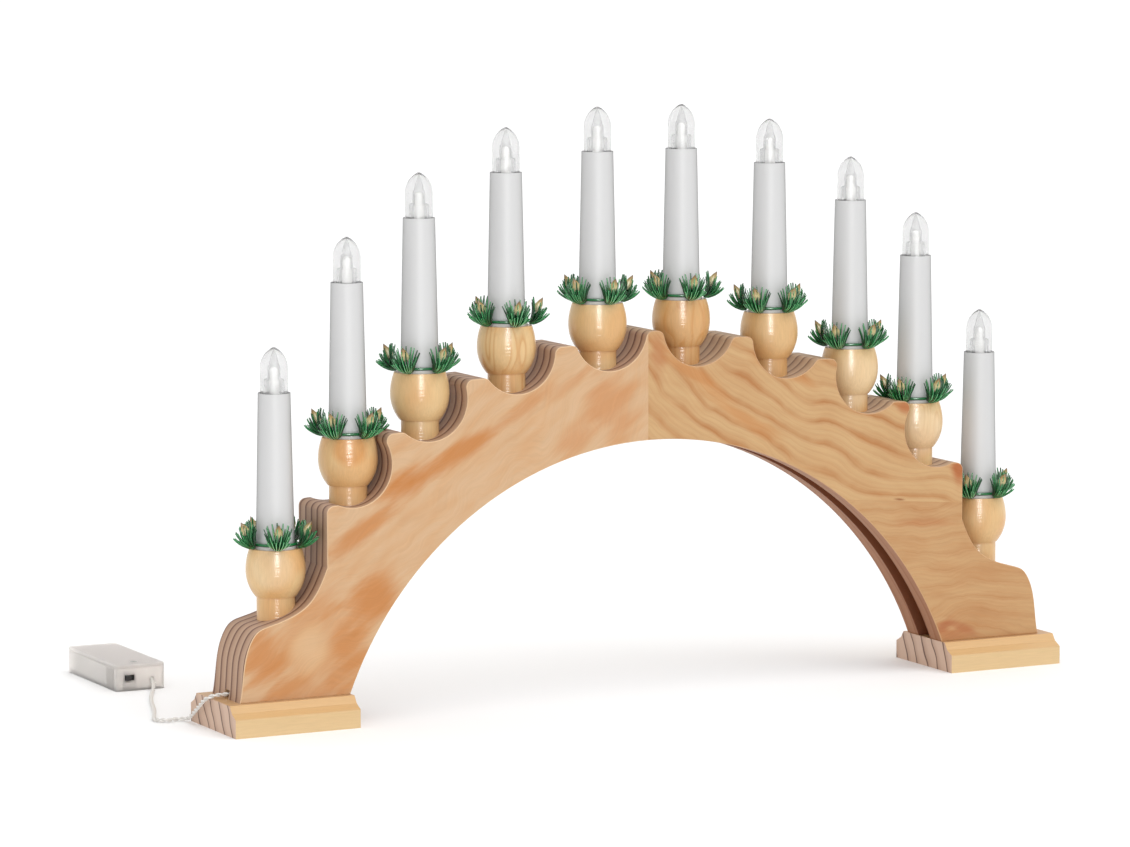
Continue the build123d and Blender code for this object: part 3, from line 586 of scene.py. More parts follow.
# %% Cup material
cup_pine, tree, shader = material(
    "pine_cup_varnished", Roughness=0.45, Specular_IOR_Level=0.15,
    Coat_Weight=0.55, Coat_Roughness=0.2,
)
place = add(tree, "ShaderNodeTexCoord").outputs["Object"]
mm = add(tree, "ShaderNodeVectorMath", {0: place, "Scale": 1000.0}, operation="SCALE").outputs[0]
axes = add(tree, "ShaderNodeSeparateXYZ", {0: mm}).outputs
upright = add(
    tree, "ShaderNodeVectorMath", {0: mm, 1: (1, 1, 0.09)}, operation="MULTIPLY"
).outputs[0]
slow = add(tree, "ShaderNodeTexNoise", {"Vector": upright, "Scale": 0.05, "Detail": 1.5}).outputs[0]
rings = add(tree, "ShaderNodeMath", {0: slow, 1: 11.0}, operation="MULTIPLY").outputs[0]
ring = add(tree, "ShaderNodeMath", {0: rings}, operation="FRACT").outputs[0]
line = add(
    tree, "ShaderNodeValToRGB", {0: ring},
    [(0.0, "#606060"), (0.25, "#000000"), (0.5, "#202020"), (0.8, "#E0E0E0"), (0.9, "#FFFFFF"),
     (1.0, "#606060")],
).outputs[0]
cup_share = add(tree, "ShaderNodeMapRange", {0: axes[0], 1: -260.0, 2: 260.0}).outputs[0]
cup_grain = add(
    tree, "ShaderNodeValToRGB", {0: cup_share},
    [(0.0, "#585858"), (0.17, "#303030"), (0.27, "#C0C0C0"), (0.38, "#383838"), (0.5, "#B8B8B8"),
     (0.61, "#484848"), (0.73, "#606060"), (0.83, "#A0A0A0"), (0.92, "#606060")],
)
cup_grain.color_ramp.interpolation = "CONSTANT"
line = add(
    tree, "ShaderNodeMath", {0: line, 1: cup_grain.outputs[0]}, operation="MULTIPLY"
).outputs[0]
grain = add(
    tree, "ShaderNodeMix", {0: line, 6: colour("#DFBC88"), 7: colour("#C4823F")}, data_type="RGBA"
).outputs[2]
blush = add(tree, "ShaderNodeTexNoise", {"Vector": mm, "Scale": 0.035, "Detail": 1.0}).outputs[0]
blush = add(tree, "ShaderNodeMapRange", {0: blush, 1: 0.46, 2: 0.66, 3: 0.0, 4: 0.75}).outputs[0]
grain = add(
    tree, "ShaderNodeMix", {0: blush, 6: grain, 7: colour("#D9A66C")}, data_type="RGBA"
).outputs[2]
cup_front = -13
# The pale spot at x -252 on the left of cup 1 is a painted highlight; the other spots are the cups'
# own tones.
for x, z, size, strength, code in (
    (-201, 164, 8, 0.7, "#CE8A44"), (29, 222, 19, 0.5, "#C98B4C"), (91, 212, 19, 0.35, "#CE9A60"),
    (-252, 96, 10, 0.35, "#E9D2AE"), (146, 186, 14, 0.5, "#E8CCA4"), (194, 152, 12, 0.5, "#E9D0AC"),
):
    spot = add(tree, "ShaderNodeVectorMath", {0: mm, 1: (-x, -cup_front, -z)}).outputs[0]
    spot = add(tree, "ShaderNodeVectorMath", {0: spot}, operation="LENGTH").outputs[1]
    spot = add(
        tree, "ShaderNodeMapRange", {0: spot, 1: size, 2: 1.5 * size, 3: strength, 4: 0.0}
    ).outputs[0]
    grain = add(
        tree, "ShaderNodeMix", {0: spot, 6: grain, 7: colour(code)}, data_type="RGBA"
    ).outputs[2]
fibre = add(tree, "ShaderNodeTexNoise", {"Vector": upright, "Scale": 1.2, "Detail": 2.0}).outputs[0]
tone = add(tree, "ShaderNodeMapRange", {0: fibre, 1: 0.25, 2: 0.75, 3: 0.94, 4: 1.05}).outputs[0]
grain = add(tree, "ShaderNodeVectorMath", {0: grain, "Scale": tone}, operation="SCALE").outputs[0]
tree.links.new(grain, shader.inputs["Base Color"])
turning = add(
    tree, "ShaderNodeVectorMath", {0: mm, 1: (0.02, 0.02, 1)}, operation="MULTIPLY"
).outputs[0]
turning = add(
    tree, "ShaderNodeTexNoise", {"Vector": turning, "Scale": 1.1, "Detail": 1.0}
).outputs[0]
turning = add(
    tree, "ShaderNodeBump", {"Height": turning, "Strength": 0.6, "Distance": 0.0006}
).outputs[0]
tree.links.new(turning, shader.inputs["Coat Normal"])
give(cup_pine, *[name for name in nodes if name.startswith("candle_cup_")])
print("cup material:", cup_pine.name)

# %% [markdown]
# ### Plastic, metal and beech
# The sleeves are satin white plastic. A coat with a grey tint and hardly any gloss paints a
# narrow grey outline on them: a look along the wall goes through more of it, so this is painted
# shade along their edges. The battery case is moulded in milky polypropylene, clear enough for
# its contacts to show as soft shadows. Its level top is painted a little greyer than its sides,
# as painted shade, and a bevelled normal softens its corners. The plain pieces each have one
# colour, as the photo shows no more of them: holders, wires, lamps, the switch, plated steel and
# beech dowels.

# %% Plastics and metals
# The grey coat tint paints a narrow grey outline: painted shade along the sleeves' edges.
sleeve_white = material(
    "plastic_sleeve_white", Base_Color="#E6E6E6", Roughness=0.48, Specular_IOR_Level=0.4,
    Coat_Weight=1.0, Coat_IOR=1.01, Coat_Roughness=0.48, Coat_Tint="#ECECEC",
)[0]
give(sleeve_white, *[name for name in nodes if name.startswith("candle_sleeve_")])

case_milky, tree, shader = material(
    "plastic_case_milky", Roughness=0.34, Transmission_Weight=0.64, IOR=1.12
)
soft = add(tree, "ShaderNodeBevel", {"Radius": 0.0026}, samples=4).outputs[0]
tree.links.new(soft, shader.inputs["Normal"])
# The level top is painted greyer than the sides: painted shade.
normal = add(tree, "ShaderNodeNewGeometry").outputs["Normal"]
case_top_painted_shade = add(tree, "ShaderNodeSeparateXYZ", {0: normal}).outputs[2]
case_top_painted_shade = add(tree, "ShaderNodeMapRange", {0: case_top_painted_shade, 1: 0.8, 2: 0.95}).outputs[0]
milky_with_painted_shade = add(
    tree, "ShaderNodeMix", {0: case_top_painted_shade, 6: colour("#FBF8F5"), 7: colour("#E6E1DE")}, data_type="RGBA"
).outputs[2]
tree.links.new(milky_with_painted_shade, shader.inputs["Base Color"])
give(case_milky, "battery_case", "battery_cover")

holder_white = material("plastic_holder_white", Base_Color="#F8F8F6", Roughness=0.4)[0]
give(holder_white, "lamp_holders")
wire_white = material("pvc_wire_white", Base_Color="#E0DDD8", Roughness=0.35)[0]
give(wire_white, "wiring_harness", "riser_wires")
lead.data.materials.append(wire_white)
lens_clear = material(
    "resin_lens_clear", Base_Color="#FFFFFD", Roughness=0.15, Transmission_Weight=0.1, IOR=1.5,
)[0]
give(lens_clear, "lights")
switch_black = material("abs_switch_black", Base_Color="#101010", Roughness=0.4)[0]
give(switch_black, "switch_housing", "switch_lever")
steel = material("steel_bright_plated", Base_Color="#B9B9B6", Metallic=1.0, Roughness=0.28)[0]
give(steel, "foot_screws", "cover_screw", "wire_staples", "battery_contacts")
beech = material("beech_dowel", Base_Color="#CFA479", Roughness=0.6)[0]
give(beech, "seam_dowels")
print("plain materials:", len(bpy.data.materials))

# %% [markdown]
# ## Clear caps
# Each flame cap is a thick clear moulding with shallow flutes inside its foot. Its bore narrows
# round the lamp and ends in a slim cone under the tip. The cone's points carry the attribute
# "flame", and there the material turns from clear plastic to an opaque grey: painted shade for
# the grey flame that the hollow of the real cap shows as light bends through it. All points lie
# on circles, so the mesh is made row by row.

# %% Turn a fluted cap
def arc(start, end, steps):
    """Points of the arc that leaves start straight up and ends at end, in radius and height."""
    (r0, z0), (r1, z1) = start, end
    radius = ((r0 - r1) ** 2 + (z1 - z0) ** 2) / (2 * (r0 - r1))
    last = np.arctan2(z1 - z0, r1 - (r0 - radius))
    return [
        (r0 - radius + radius * cos(a), z0 + radius * sin(a)) for a in np.linspace(0, last, steps)
    ]


cap_foot, cap_shoulder, cap_top = -6.0, 14.5, 27.0
cone_foot, cone_top = 16.6, 25.2
outer_profile = [
    (8.3, cap_foot), (8.3, 0.0), (8.3, 7.0),
] + arc((8.3, cap_shoulder), (0.7, cap_top), 16)
inner_profile = [
    (0.15, cone_top), (0.7, 24.0), (1.5, 21.5), (2.2, 18.5), (2.6, cone_foot), (3.1, 15.8),
    (3.3, 14.5), (3.3, 9.0), (4.9, 8.2), (5.1, 7.0), (5.2, 0.0), (5.2, cap_foot),
]
around = 96
flutes, flute_depth, flute_from = 16, 0.12, 4.5
cone_rows = 5


def cap_mesh(name, x, z):
    """One cap at x, with the sleeve's mouth at z, both in millimetres."""
    vertices = [(x, 0, z + cap_top)]
    rows = outer_profile + inner_profile
    for row, (radius, height) in enumerate(rows):
        inside = row >= len(outer_profile)
        for i in range(around):
            turn = 2 * pi * i / around
            fluted = inside and flute_from < radius
            r = radius - (flute_depth * cos(flutes * turn) if fluted else 0)
            vertices.append((x + r * cos(turn), r * sin(turn), z + height))
    vertices.append((x, 0, z + cone_top))
    faces = []
    count = len(rows)
    outer_rows, inner_rows = range(len(outer_profile) - 1), range(len(outer_profile), count - 1)
    for row in (*outer_rows, *inner_rows):
        for i in range(around):
            j = (i + 1) % around
            low, high = 1 + row * around, 1 + (row + 1) * around
            faces.append((low + i, low + j, high + j, high + i))
    top = 1 + (len(outer_profile) - 1) * around
    dome = 1 + len(outer_profile) * around
    foot_in = 1 + (count - 1) * around
    end = len(vertices) - 1
    for i in range(around):
        j = (i + 1) % around
        faces.append((top + i, top + j, 0))
        faces.append((dome + j, dome + i, end))
        faces.append((foot_in + i, foot_in + j, 1 + j, 1 + i))
    made = mesh_object(name, [tuple(c * MM for c in v) for v in vertices], faces)
    cone = set(range(dome, dome + cone_rows * around)) | {end}
    flame = made.data.attributes.new("flame", "FLOAT", "POINT")
    flame.data.foreach_set("value", [float(i in cone) for i in range(len(vertices))])
    return made


cap_clear, tree, shader = material("plastic_cap_clear", Roughness=0.16, IOR=1.16)
flame = add(tree, "ShaderNodeAttribute", attribute_name="flame").outputs["Fac"]
# The cone is painted grey and opaque: painted shade for the grey flame.
cap_tint_and_painted_shade = add(
    tree, "ShaderNodeMix", {0: flame, 6: colour("#E6E6E6"), 7: colour("#6E6E6E")}, data_type="RGBA"
).outputs[2]
clear = add(tree, "ShaderNodeMapRange", {0: flame, 3: 0.85, 4: 0.0}).outputs[0]
tree.links.new(cap_tint_and_painted_shade, shader.inputs["Base Color"])
tree.links.new(clear, shader.inputs["Transmission Weight"])
caps = []
for number in range(1, 11):
    low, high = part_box(f"flame_cap_{number:02d}")
    x = (low.x + high.x) / 2 / MM
    cap = cap_mesh(f"cap_fluted_{number:02d}", x, low.z / MM - cap_foot)
    cap.data.materials.append(cap_clear)
    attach(cap, "arch")
    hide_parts(f"flame_cap_{number:02d}")
    caps.append(cap)
print("caps:", len(caps), "faces each:", len(caps[0].data.polygons))

# %% [markdown]
# ## Rings of fir
# A ring is a round wire with five sprigs, and Geometry Nodes lays them out. The same tree makes
# all ten rings, each with its own turn and seed. A second tree makes the buds, so both start
# from one helper that gives a tree its named inputs.

# %% A node group with named inputs
ring_radius = 12.75 * MM


def node_group(name, inputs):
    """A geometry node group: the tree, the identifiers of its inputs and the inputs' sockets."""
    tree = bpy.data.node_groups.new(name, "GeometryNodeTree")
    sockets = {}
    for label, kind, value in inputs:
        socket = tree.interface.new_socket(label, in_out="INPUT", socket_type=kind)
        if value is not None:
            socket.default_value = value
        sockets[label] = socket.identifier
    tree.interface.new_socket("Geometry", in_out="OUTPUT", socket_type="NodeSocketGeometry")
    return tree, sockets, add(tree, "NodeGroupInput").outputs


# %% [markdown]
# A needle is one curve along X, thick at its foot and blunt at its tip. It keeps two numbers
# for its material: "along" runs from foot to tip, and "around" once round it.

# %% One needle
def needle_mesh(tree, given):
    """One needle of length 1, from the origin along X."""
    needle = add(
        tree, "GeometryNodeCurveQuadraticBezier",
        {"Resolution": 5, "Start": (0, 0, 0), "Middle": (0.5, 0, -0.14), "End": (1, 0, 0.03)},
    ).outputs[0]
    along = add(tree, "GeometryNodeSplineParameter").outputs["Factor"]
    taper = add(tree, "ShaderNodeMapRange", {0: along, 1: 0.5, 2: 1.0, 3: 1.0, 4: 0.55}).outputs[0]
    thin = add(
        tree, "ShaderNodeMath", {0: given["Needle Radius"], 1: given["Needle Length"]},
        operation="DIVIDE",
    ).outputs[0]
    profile = add(
        tree, "GeometryNodeCurvePrimitiveCircle", {"Resolution": 6, "Radius": thin}
    ).outputs[0]
    profile = add(
        tree, "GeometryNodeStoreNamedAttribute",
        {"Geometry": profile, "Name": "around", "Value": along}, data_type="FLOAT", domain="POINT",
    ).outputs[0]
    needle = add(
        tree, "GeometryNodeStoreNamedAttribute",
        {"Geometry": needle, "Name": "along", "Value": along}, data_type="FLOAT", domain="POINT",
    ).outputs[0]
    needle = add(
        tree, "GeometryNodeCurveToMesh",
        {"Curve": needle, "Profile Curve": profile, "Scale": taper, "Fill Caps": True},
    ).outputs[0]
    return needle


# %% [markdown]
# A sprig is a tulip of 40 needles in four rows. The front row is low and short, the back rows
# stand up and spread wide, and each needle's place, spread and length come from its number.
# In the fan, share runs from -1 to 1 across it, and back from 0 in front to 1 behind.

# %% A fan of needles
fan_rows = 4
front_lean, back_lean = radians(-30), radians(-80)
front_spread, back_spread = radians(26), radians(27)
front_foot, back_foot = 16.4 * MM, 14.4 * MM
middle_drop, side_drop = 2.4 * MM, 0.9 * MM


def needle_fan(tree, given, needle):
    """The needles of one sprig at ring angle 0, and the point index that the ring reuses."""
    # Each needle's place across the fan and its row
    fan = add(
        tree, "GeometryNodeMeshLine", {"Count": given["Needles"], "Offset": (0, 0, 0)}
    ).outputs[0]
    index = add(tree, "GeometryNodeInputIndex").outputs[0]
    last = add(
        tree, "ShaderNodeMath", {0: given["Needles"], 1: 1.0}, operation="SUBTRACT"
    ).outputs[0]
    share = add(tree, "ShaderNodeMapRange", {0: index, 1: 0.0, 2: last, 3: -1.0, 4: 1.0}).outputs[0]
    aside = add(tree, "ShaderNodeMath", {0: share, 1: pi}, operation="MULTIPLY").outputs[0]
    aside = add(tree, "ShaderNodeMath", {0: aside}, operation="SINE").outputs[0]
    share = add(
        tree, "ShaderNodeMath", {0: aside, 1: 0.14, 2: share}, operation="MULTIPLY_ADD"
    ).outputs[0]
    row = add(tree, "ShaderNodeMath", {0: index, 1: fan_rows}, operation="MODULO").outputs[0]
    back = add(tree, "ShaderNodeMath", {0: row, 1: fan_rows - 1}, operation="DIVIDE").outputs[0]
    bent = add(tree, "ShaderNodeMath", {0: share, 1: share}, operation="MULTIPLY").outputs[0]

    # Its direction: rows lean from low in front to nearly upright behind
    jitter = add(
        tree, "FunctionNodeRandomValue", {2: -0.05, 3: 0.05, "ID": index, "Seed": given["Seed"]},
        data_type="FLOAT",
    ).outputs[1]
    lean = add(
        tree, "ShaderNodeMapRange", {0: back, 1: 0.0, 2: 1.0, 3: front_lean, 4: back_lean}
    ).outputs[0]
    lean = add(tree, "ShaderNodeMath", {0: lean, 1: jitter}, operation="ADD").outputs[0]
    spread = add(
        tree, "ShaderNodeMapRange", {0: back, 1: 0.0, 2: 1.0, 3: front_spread, 4: back_spread}
    ).outputs[0]
    spread = add(
        tree, "ShaderNodeMath", {0: share, 1: spread, 2: jitter}, operation="MULTIPLY_ADD"
    ).outputs[0]
    heading = add(tree, "ShaderNodeCombineXYZ", {1: lean}).outputs[0]
    sideways = add(tree, "ShaderNodeCombineXYZ", {2: spread}).outputs[0]
    heading = add(
        tree, "FunctionNodeRotateRotation",
        {"Rotation": add(tree, "FunctionNodeEulerToRotation", {0: sideways}).outputs[0],
         "Rotate By": add(tree, "FunctionNodeEulerToRotation", {0: heading}).outputs[0]},
    ).outputs[0]

    # Its foot on the stem
    foot_y = add(tree, "ShaderNodeMath", {0: share, 1: 3.3 * MM}, operation="MULTIPLY").outputs[0]
    foot_z = add(
        tree, "ShaderNodeMapRange", {0: bent, 1: 0.0, 2: 1.0, 3: -middle_drop, 4: -side_drop}
    ).outputs[0]
    foot_x = add(
        tree, "ShaderNodeMapRange", {0: back, 1: 0.0, 2: 1.0, 3: front_foot, 4: back_foot}
    ).outputs[0]
    foot = add(tree, "ShaderNodeCombineXYZ", {0: foot_x, 1: foot_y, 2: foot_z}).outputs[0]
    fan = add(tree, "GeometryNodeSetPosition", {"Geometry": fan, "Position": foot}).outputs[0]

    # Its tone, its painted shade and its length
    uneven = add(
        tree, "FunctionNodeRandomValue", {2: 0.38, 3: 1.5, "ID": index, "Seed": 7},
        data_type="FLOAT",
    ).outputs[1]
    # The back rows are painted darker: painted shade. The random part is each needle's own tone.
    shade = add(tree, "ShaderNodeMapRange", {0: back, 1: 0.0, 2: 1.0, 3: 1.2, 4: 0.75}).outputs[0]
    shade = add(
        tree, "ShaderNodeMath", {0: shade, 1: uneven, 2: -1.0}, operation="MULTIPLY_ADD"
    ).outputs[0]
    fan = add(
        tree, "GeometryNodeStoreNamedAttribute",
        {"Geometry": fan, "Name": "shade", "Value": shade}, data_type="FLOAT", domain="POINT",
    ).outputs[0]
    short = add(tree, "ShaderNodeMapRange", {0: bent, 1: 0.0, 2: 1.0, 3: 1.0, 4: 0.72}).outputs[0]
    tall = add(tree, "ShaderNodeMapRange", {0: back, 1: 0.0, 2: 1.0, 3: 0.70, 4: 1.0}).outputs[0]
    length = add(tree, "ShaderNodeMath", {0: short, 1: tall}, operation="MULTIPLY").outputs[0]
    length = add(
        tree, "ShaderNodeMath", {0: length, 1: given["Needle Length"]}, operation="MULTIPLY"
    ).outputs[0]
    fan = add(
        tree, "GeometryNodeInstanceOnPoints",
        {"Points": fan, "Instance": needle, "Rotation": heading, "Scale": length},
    ).outputs[0]
    return fan, index


# %% [markdown]
# The ring joins a stem to each fan, sets five of these sprigs round the wire, and turns all
# instances into one mesh.

# %% Geometry nodes for a ring
def ring_tree():
    """Node group for the green part of one ring, in metres at the origin."""
    tree, sockets, given = node_group("fir_ring", (
        ("Ring Radius", "NodeSocketFloat", ring_radius),
        ("Wire Radius", "NodeSocketFloat", 0.8 * MM),
        ("Sprigs", "NodeSocketInt", 5), ("Needles", "NodeSocketInt", 40),
        ("Needle Length", "NodeSocketFloat", 16.8 * MM),
        ("Needle Radius", "NodeSocketFloat", 0.72 * MM),
        ("Turn", "NodeSocketFloat", 0.0), ("Seed", "NodeSocketInt", 0),
        ("Material", "NodeSocketMaterial", None),
    ))
    fan, index = needle_fan(tree, given, needle_mesh(tree, given))

    # Stem from the wire to the fan
    stem = add(
        tree, "GeometryNodeCurvePrimitiveLine",
        {"Start": (ring_radius, 0, 0), "End": (16.2 * MM, 0, -1.2 * MM)},
    ).outputs[0]
    stem = add(
        tree, "GeometryNodeCurveToMesh",
        {"Curve": stem, "Profile Curve": add(
            tree, "GeometryNodeCurvePrimitiveCircle", {"Resolution": 10, "Radius": 1.2 * MM}
        ).outputs[0], "Fill Caps": True},
    ).outputs[0]
    sprig = add(tree, "GeometryNodeJoinGeometry")
    tree.links.new(stem, sprig.inputs[0])
    tree.links.new(fan, sprig.inputs[0])

    # All sprigs round the ring, and the wire
    step = add(
        tree, "ShaderNodeMath", {0: 2 * pi, 1: given["Sprigs"]}, operation="DIVIDE"
    ).outputs[0]
    angle = add(
        tree, "ShaderNodeMath", {0: index, 1: step, 2: given["Turn"]}, operation="MULTIPLY_ADD"
    ).outputs[0]
    places = add(
        tree, "GeometryNodeMeshLine", {"Count": given["Sprigs"], "Offset": (0, 0, 0)}
    ).outputs[0]
    sprigs = add(
        tree, "GeometryNodeInstanceOnPoints",
        {"Points": places, "Instance": sprig.outputs[0],
         "Rotation": add(tree, "ShaderNodeCombineXYZ", {2: angle}).outputs[0]},
    ).outputs[0]
    wire = add(
        tree, "GeometryNodeCurvePrimitiveCircle", {"Resolution": 64, "Radius": given["Ring Radius"]}
    ).outputs[0]
    wire = add(
        tree, "GeometryNodeCurveToMesh",
        {"Curve": wire, "Profile Curve": add(
            tree, "GeometryNodeCurvePrimitiveCircle",
            {"Resolution": 10, "Radius": given["Wire Radius"]},
        ).outputs[0]},
    ).outputs[0]
    whole = add(tree, "GeometryNodeJoinGeometry")
    tree.links.new(sprigs, whole.inputs[0])
    tree.links.new(wire, whole.inputs[0])
    whole = add(tree, "GeometryNodeRealizeInstances", {"Geometry": whole.outputs[0]}).outputs[0]
    whole = add(tree, "GeometryNodeSetShadeSmooth", {"Geometry": whole}).outputs[0]
    whole = add(
        tree, "GeometryNodeSetMaterial", {"Geometry": whole, "Material": given["Material"]}
    ).outputs[0]
    add(tree, "NodeGroupOutput", {0: whole})
    return tree, sockets


fir_tree, fir_sockets = ring_tree()
print("ring tree nodes:", len(fir_tree.nodes))

# %% [markdown]
# The buds between the needles get a tree of their own: a star shaped profile, twisted a little
# as it runs up the bud, gives the overlapping scales.

# %% Geometry nodes for the buds
bud_reach, bud_height, bud_lean = 17.4 * MM, 4.8 * MM, radians(-62)


def bud_tree():
    """Node group for the five buds of one ring."""
    tree, sockets, given = node_group("fir_buds", (
        ("Sprigs", "NodeSocketInt", 5), ("Bud Length", "NodeSocketFloat", 10.0 * MM),
        ("Bud Radius", "NodeSocketFloat", 2.6 * MM), ("Turn", "NodeSocketFloat", 0.0),
        ("Material", "NodeSocketMaterial", None),
    ))

    # One bud of length 1: a twisted star, swollen in the middle
    spine = add(
        tree, "GeometryNodeCurvePrimitiveLine", {"Start": (0, 0, 0), "End": (1, 0, 0)}
    ).outputs[0]
    spine = add(tree, "GeometryNodeResampleCurve", {"Curve": spine, "Count": 14}).outputs[0]
    along = add(tree, "GeometryNodeSplineParameter").outputs["Factor"]
    swell = add(tree, "ShaderNodeMath", {0: along, 1: 0.72}, operation="POWER").outputs[0]
    swell = add(
        tree, "ShaderNodeMapRange", {0: swell, 1: 0.0, 2: 1.0, 3: 0.35, 4: pi - 0.05}
    ).outputs[0]
    swell = add(tree, "ShaderNodeMath", {0: swell}, operation="SINE").outputs[0]
    twist = add(tree, "ShaderNodeMath", {0: along, 1: 2.4}, operation="MULTIPLY").outputs[0]
    spine = add(tree, "GeometryNodeSetCurveTilt", {"Curve": spine, "Tilt": twist}).outputs[0]
    spine = add(
        tree, "GeometryNodeStoreNamedAttribute",
        {"Geometry": spine, "Name": "along", "Value": along}, data_type="FLOAT", domain="POINT",
    ).outputs[0]
    ratio = add(
        tree, "ShaderNodeMath", {0: given["Bud Radius"], 1: given["Bud Length"]}, operation="DIVIDE"
    ).outputs[0]
    hollow = add(tree, "ShaderNodeMath", {0: ratio, 1: 0.78}, operation="MULTIPLY").outputs[0]
    star = add(
        tree, "GeometryNodeCurveStar", {"Points": 7, "Inner Radius": hollow, "Outer Radius": ratio}
    ).outputs[0]
    bud = add(
        tree, "GeometryNodeCurveToMesh",
        {"Curve": spine, "Profile Curve": star, "Scale": swell, "Fill Caps": True},
    ).outputs[0]

    # Five of them round the ring, leaning outwards
    index = add(tree, "GeometryNodeInputIndex").outputs[0]
    step = add(
        tree, "ShaderNodeMath", {0: 2 * pi, 1: given["Sprigs"]}, operation="DIVIDE"
    ).outputs[0]
    angle = add(
        tree, "ShaderNodeMath", {0: index, 1: step, 2: given["Turn"]}, operation="MULTIPLY_ADD"
    ).outputs[0]
    cosine = add(tree, "ShaderNodeMath", {0: angle}, operation="COSINE").outputs[0]
    sine = add(tree, "ShaderNodeMath", {0: angle}, operation="SINE").outputs[0]
    x = add(tree, "ShaderNodeMath", {0: cosine, 1: bud_reach}, operation="MULTIPLY").outputs[0]
    y = add(tree, "ShaderNodeMath", {0: sine, 1: bud_reach}, operation="MULTIPLY").outputs[0]
    place = add(tree, "ShaderNodeCombineXYZ", {0: x, 1: y, 2: bud_height}).outputs[0]
    points = add(
        tree, "GeometryNodeMeshLine", {"Count": given["Sprigs"], "Offset": (0, 0, 0)}
    ).outputs[0]
    points = add(
        tree, "GeometryNodeSetPosition", {"Geometry": points, "Position": place}
    ).outputs[0]
    heading = add(tree, "ShaderNodeCombineXYZ", {1: bud_lean, 2: angle}).outputs[0]
    buds = add(
        tree, "GeometryNodeInstanceOnPoints",
        {"Points": points, "Instance": bud, "Rotation": heading, "Scale": given["Bud Length"]},
    ).outputs[0]
    buds = add(tree, "GeometryNodeRealizeInstances", {"Geometry": buds}).outputs[0]
    buds = add(tree, "GeometryNodeSetShadeSmooth", {"Geometry": buds}).outputs[0]
    buds = add(
        tree, "GeometryNodeSetMaterial", {"Geometry": buds, "Material": given["Material"]}
    ).outputs[0]
    add(tree, "NodeGroupOutput", {0: buds})
    return tree, sockets


gold_tree, gold_sockets = bud_tree()
print("bud tree nodes:", len(gold_tree.nodes))

# %% [markdown]
# The fir is moulded in shiny polyethylene. Each needle is dark near its foot and lighter towards
# its tip. One narrow pale streak along its outer side is a painted highlight, strongest on the
# front needles, and gives the striped look. Each needle also has a random tone of its own, and
# the back rows are painted darker as painted shade; both are stored as "shade", less one,
# because the wire and the stems don't carry it and read 0, and the material adds the one again.
# The buds are cream plastic with a brown tip.

# %% Fir and bud materials
fir_green, tree, shader = material("plastic_fir_green", Roughness=0.24, Specular_IOR_Level=0.6)
along = add(tree, "ShaderNodeAttribute", attribute_name="along").outputs["Fac"]
greens = add(
    tree, "ShaderNodeValToRGB", {0: along},
    [(0.0, "#16703C"), (0.10, "#054722"), (0.45, "#09602D"), (1.0, "#1B7E40")],
).outputs[0]
# shade holds each needle's random tone and the back rows' painted shade.
shade = add(tree, "ShaderNodeAttribute", attribute_name="shade").outputs["Fac"]
shade = add(tree, "ShaderNodeMath", {0: shade, 1: 1.0}, operation="ADD").outputs[0]
greens = add(
    tree, "ShaderNodeVectorMath", {0: greens, "Scale": shade}, operation="SCALE"
).outputs[0]
# The pale streak on each needle's outer side is a painted highlight.
around = add(tree, "ShaderNodeAttribute", attribute_name="around").outputs["Fac"]
streak = add(tree, "ShaderNodeMapRange", {0: around, 1: 0.16, 2: 0.21, 3: 0.0, 4: 0.85}).outputs[0]
ends = add(tree, "ShaderNodeMapRange", {0: around, 1: 0.28, 2: 0.33, 3: 1.0, 4: 0.0}).outputs[0]
streak = add(tree, "ShaderNodeMath", {0: streak, 1: ends}, operation="MULTIPLY").outputs[0]
lit = add(tree, "ShaderNodeMapRange", {0: shade, 1: 0.7, 2: 1.1}).outputs[0]
streak = add(tree, "ShaderNodeMath", {0: streak, 1: lit}, operation="MULTIPLY").outputs[0]
greens = add(
    tree, "ShaderNodeMix", {0: streak, 6: greens, 7: colour("#A6E8B4")}, data_type="RGBA"
).outputs[2]
tree.links.new(greens, shader.inputs["Base Color"])
bud_gold, tree, shader = material("plastic_bud_gold", Roughness=0.35)
along = add(tree, "ShaderNodeAttribute", attribute_name="along").outputs["Fac"]
golds = add(
    tree, "ShaderNodeValToRGB", {0: along},
    [(0.0, "#EFE6C6"), (0.5, "#DCCB93"), (0.75, "#A88A50"), (1.0, "#5A3F26")],
).outputs[0]
tree.links.new(golds, shader.inputs["Base Color"])

# %% [markdown]
# Each ring lies on the collar of its sleeve, just above the cup. Its turn about the candle was
# read from where its sprigs stand, and its number is the seed.

# %% Make the ten rings
ring_turns = (-108, -144, -143, -95, -87, -95, -144, -75, -148, -142)
ring_rise = 2.9 * MM


def plain_mesh(name, tree, sockets, values):
    """Run a node group on an empty mesh and keep the result as a plain object."""
    source = mesh_object("nodes_" + name, [], [])
    modifier = source.modifiers.new("nodes", "NODES")
    modifier.node_group = tree
    for socket, value in values.items():
        modifier[sockets[socket]] = value
    bpy.context.view_layer.update()
    seen = source.evaluated_get(bpy.context.evaluated_depsgraph_get())
    mesh = bpy.data.meshes.new_from_object(seen)
    mesh.name = name
    bpy.data.objects.remove(source)
    made = bpy.data.objects.new(name, mesh)
    bpy.context.scene.collection.objects.link(made)
    return made


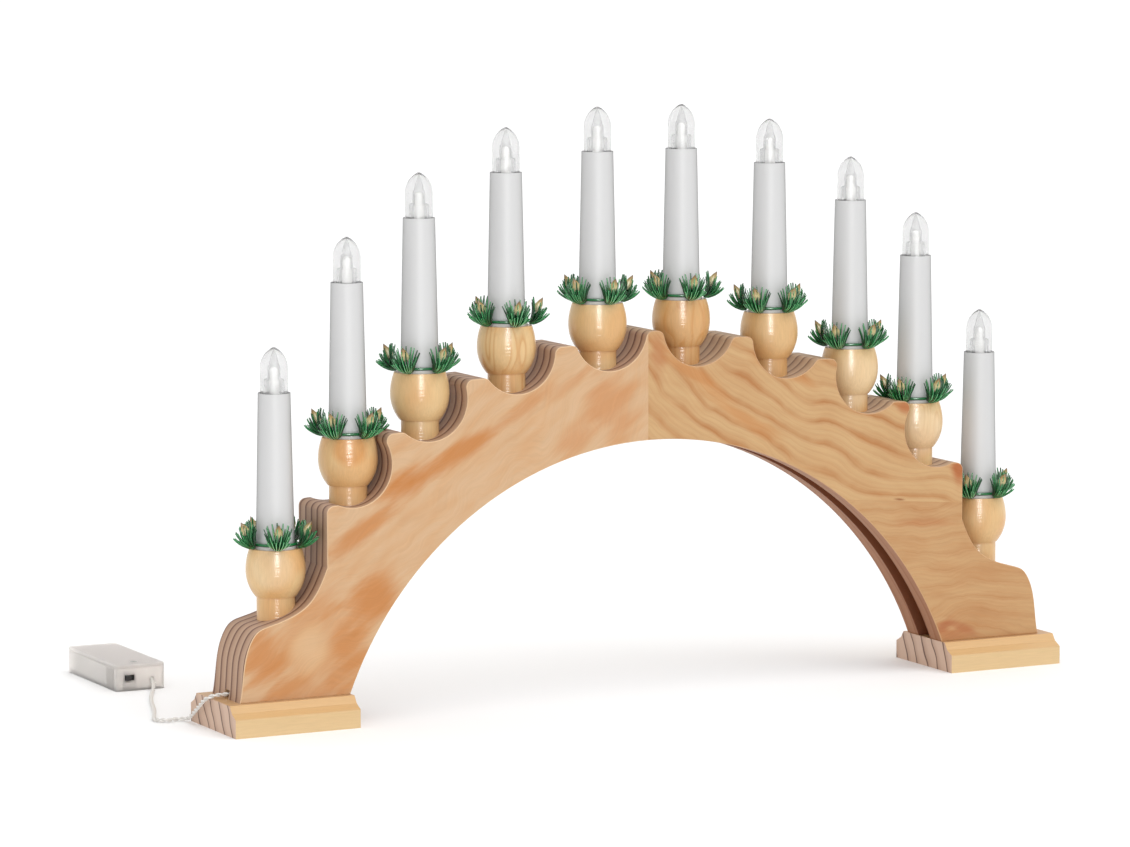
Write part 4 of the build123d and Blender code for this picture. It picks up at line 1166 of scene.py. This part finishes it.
for number, turn in enumerate(ring_turns, 1):
    cup_low, cup_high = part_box(f"candle_cup_{number:02d}")
    move = Matrix.Translation(((cup_low.x + cup_high.x) / 2, 0, cup_high.z + ring_rise))
    sprigs = plain_mesh(
        f"fir_sprigs_{number:02d}", fir_tree, fir_sockets,
        {"Turn": radians(turn), "Seed": number, "Material": fir_green},
    )
    buds = plain_mesh(
        f"fir_buds_{number:02d}", gold_tree, gold_sockets,
        {"Turn": radians(turn), "Material": bud_gold},
    )
    for piece, slot in ((sprigs, "fir_plastic"), (buds, "fir_bud_gold")):
        piece.data.transform(move)
        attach(piece, f"ring_{number:02d}")
    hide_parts(f"candle_ring_{number:02d}")
print("ring faces:", len(sprigs.data.polygons), "bud faces:", len(buds.data.polygons))

# %% [markdown]
# ## Floor and light
# A white paper floor that runs past the frame, an even sky and a broad high sun stand in for a
# photographer's light tent. A tall strip beside the camera is there for reflections only.

# %% Floor and lights
corners = [(-30, -30, 0), (30, -30, 0), (30, 30, 0), (-30, 30, 0)]
floor = mesh_object("floor", corners, [(0, 1, 2, 3)])
floor_white = material("paper_floor_white", Base_Color="#FAFAFA", Roughness=0.95)[0]
floor.data.materials.append(floor_white)

world = bpy.data.worlds.new("light_tent")
world.use_nodes = True
world.node_tree.nodes["Background"].inputs[0].default_value = (1, 1, 1, 1)
world.node_tree.nodes["Background"].inputs[1].default_value = 0.9
bpy.context.scene.world = world
sun = bpy.data.objects.new("sun", bpy.data.lights.new("sun", "SUN"))
sun.data.energy = 0.95
sun.data.angle = radians(50)
sun.rotation_euler = Vector((-0.3, 0.45, -1.0)).to_track_quat("-Z", "Y").to_euler()
strip = bpy.data.objects.new("strip", bpy.data.lights.new("strip", "AREA"))
strip.data.shape = "RECTANGLE"
strip.data.size = 1.3
strip.data.size_y = 4.4
strip.data.energy = 420
strip.visible_diffuse = False
strip.location = (-1.5, -4.0, 1.6)
strip.rotation_euler = (Vector((0, 0, 0.2)) - strip.location).to_track_quat("-Z", "Y").to_euler()
for lamp in (sun, strip):
    bpy.context.scene.collection.objects.link(lamp)
print("lights: sky, sun and strip")
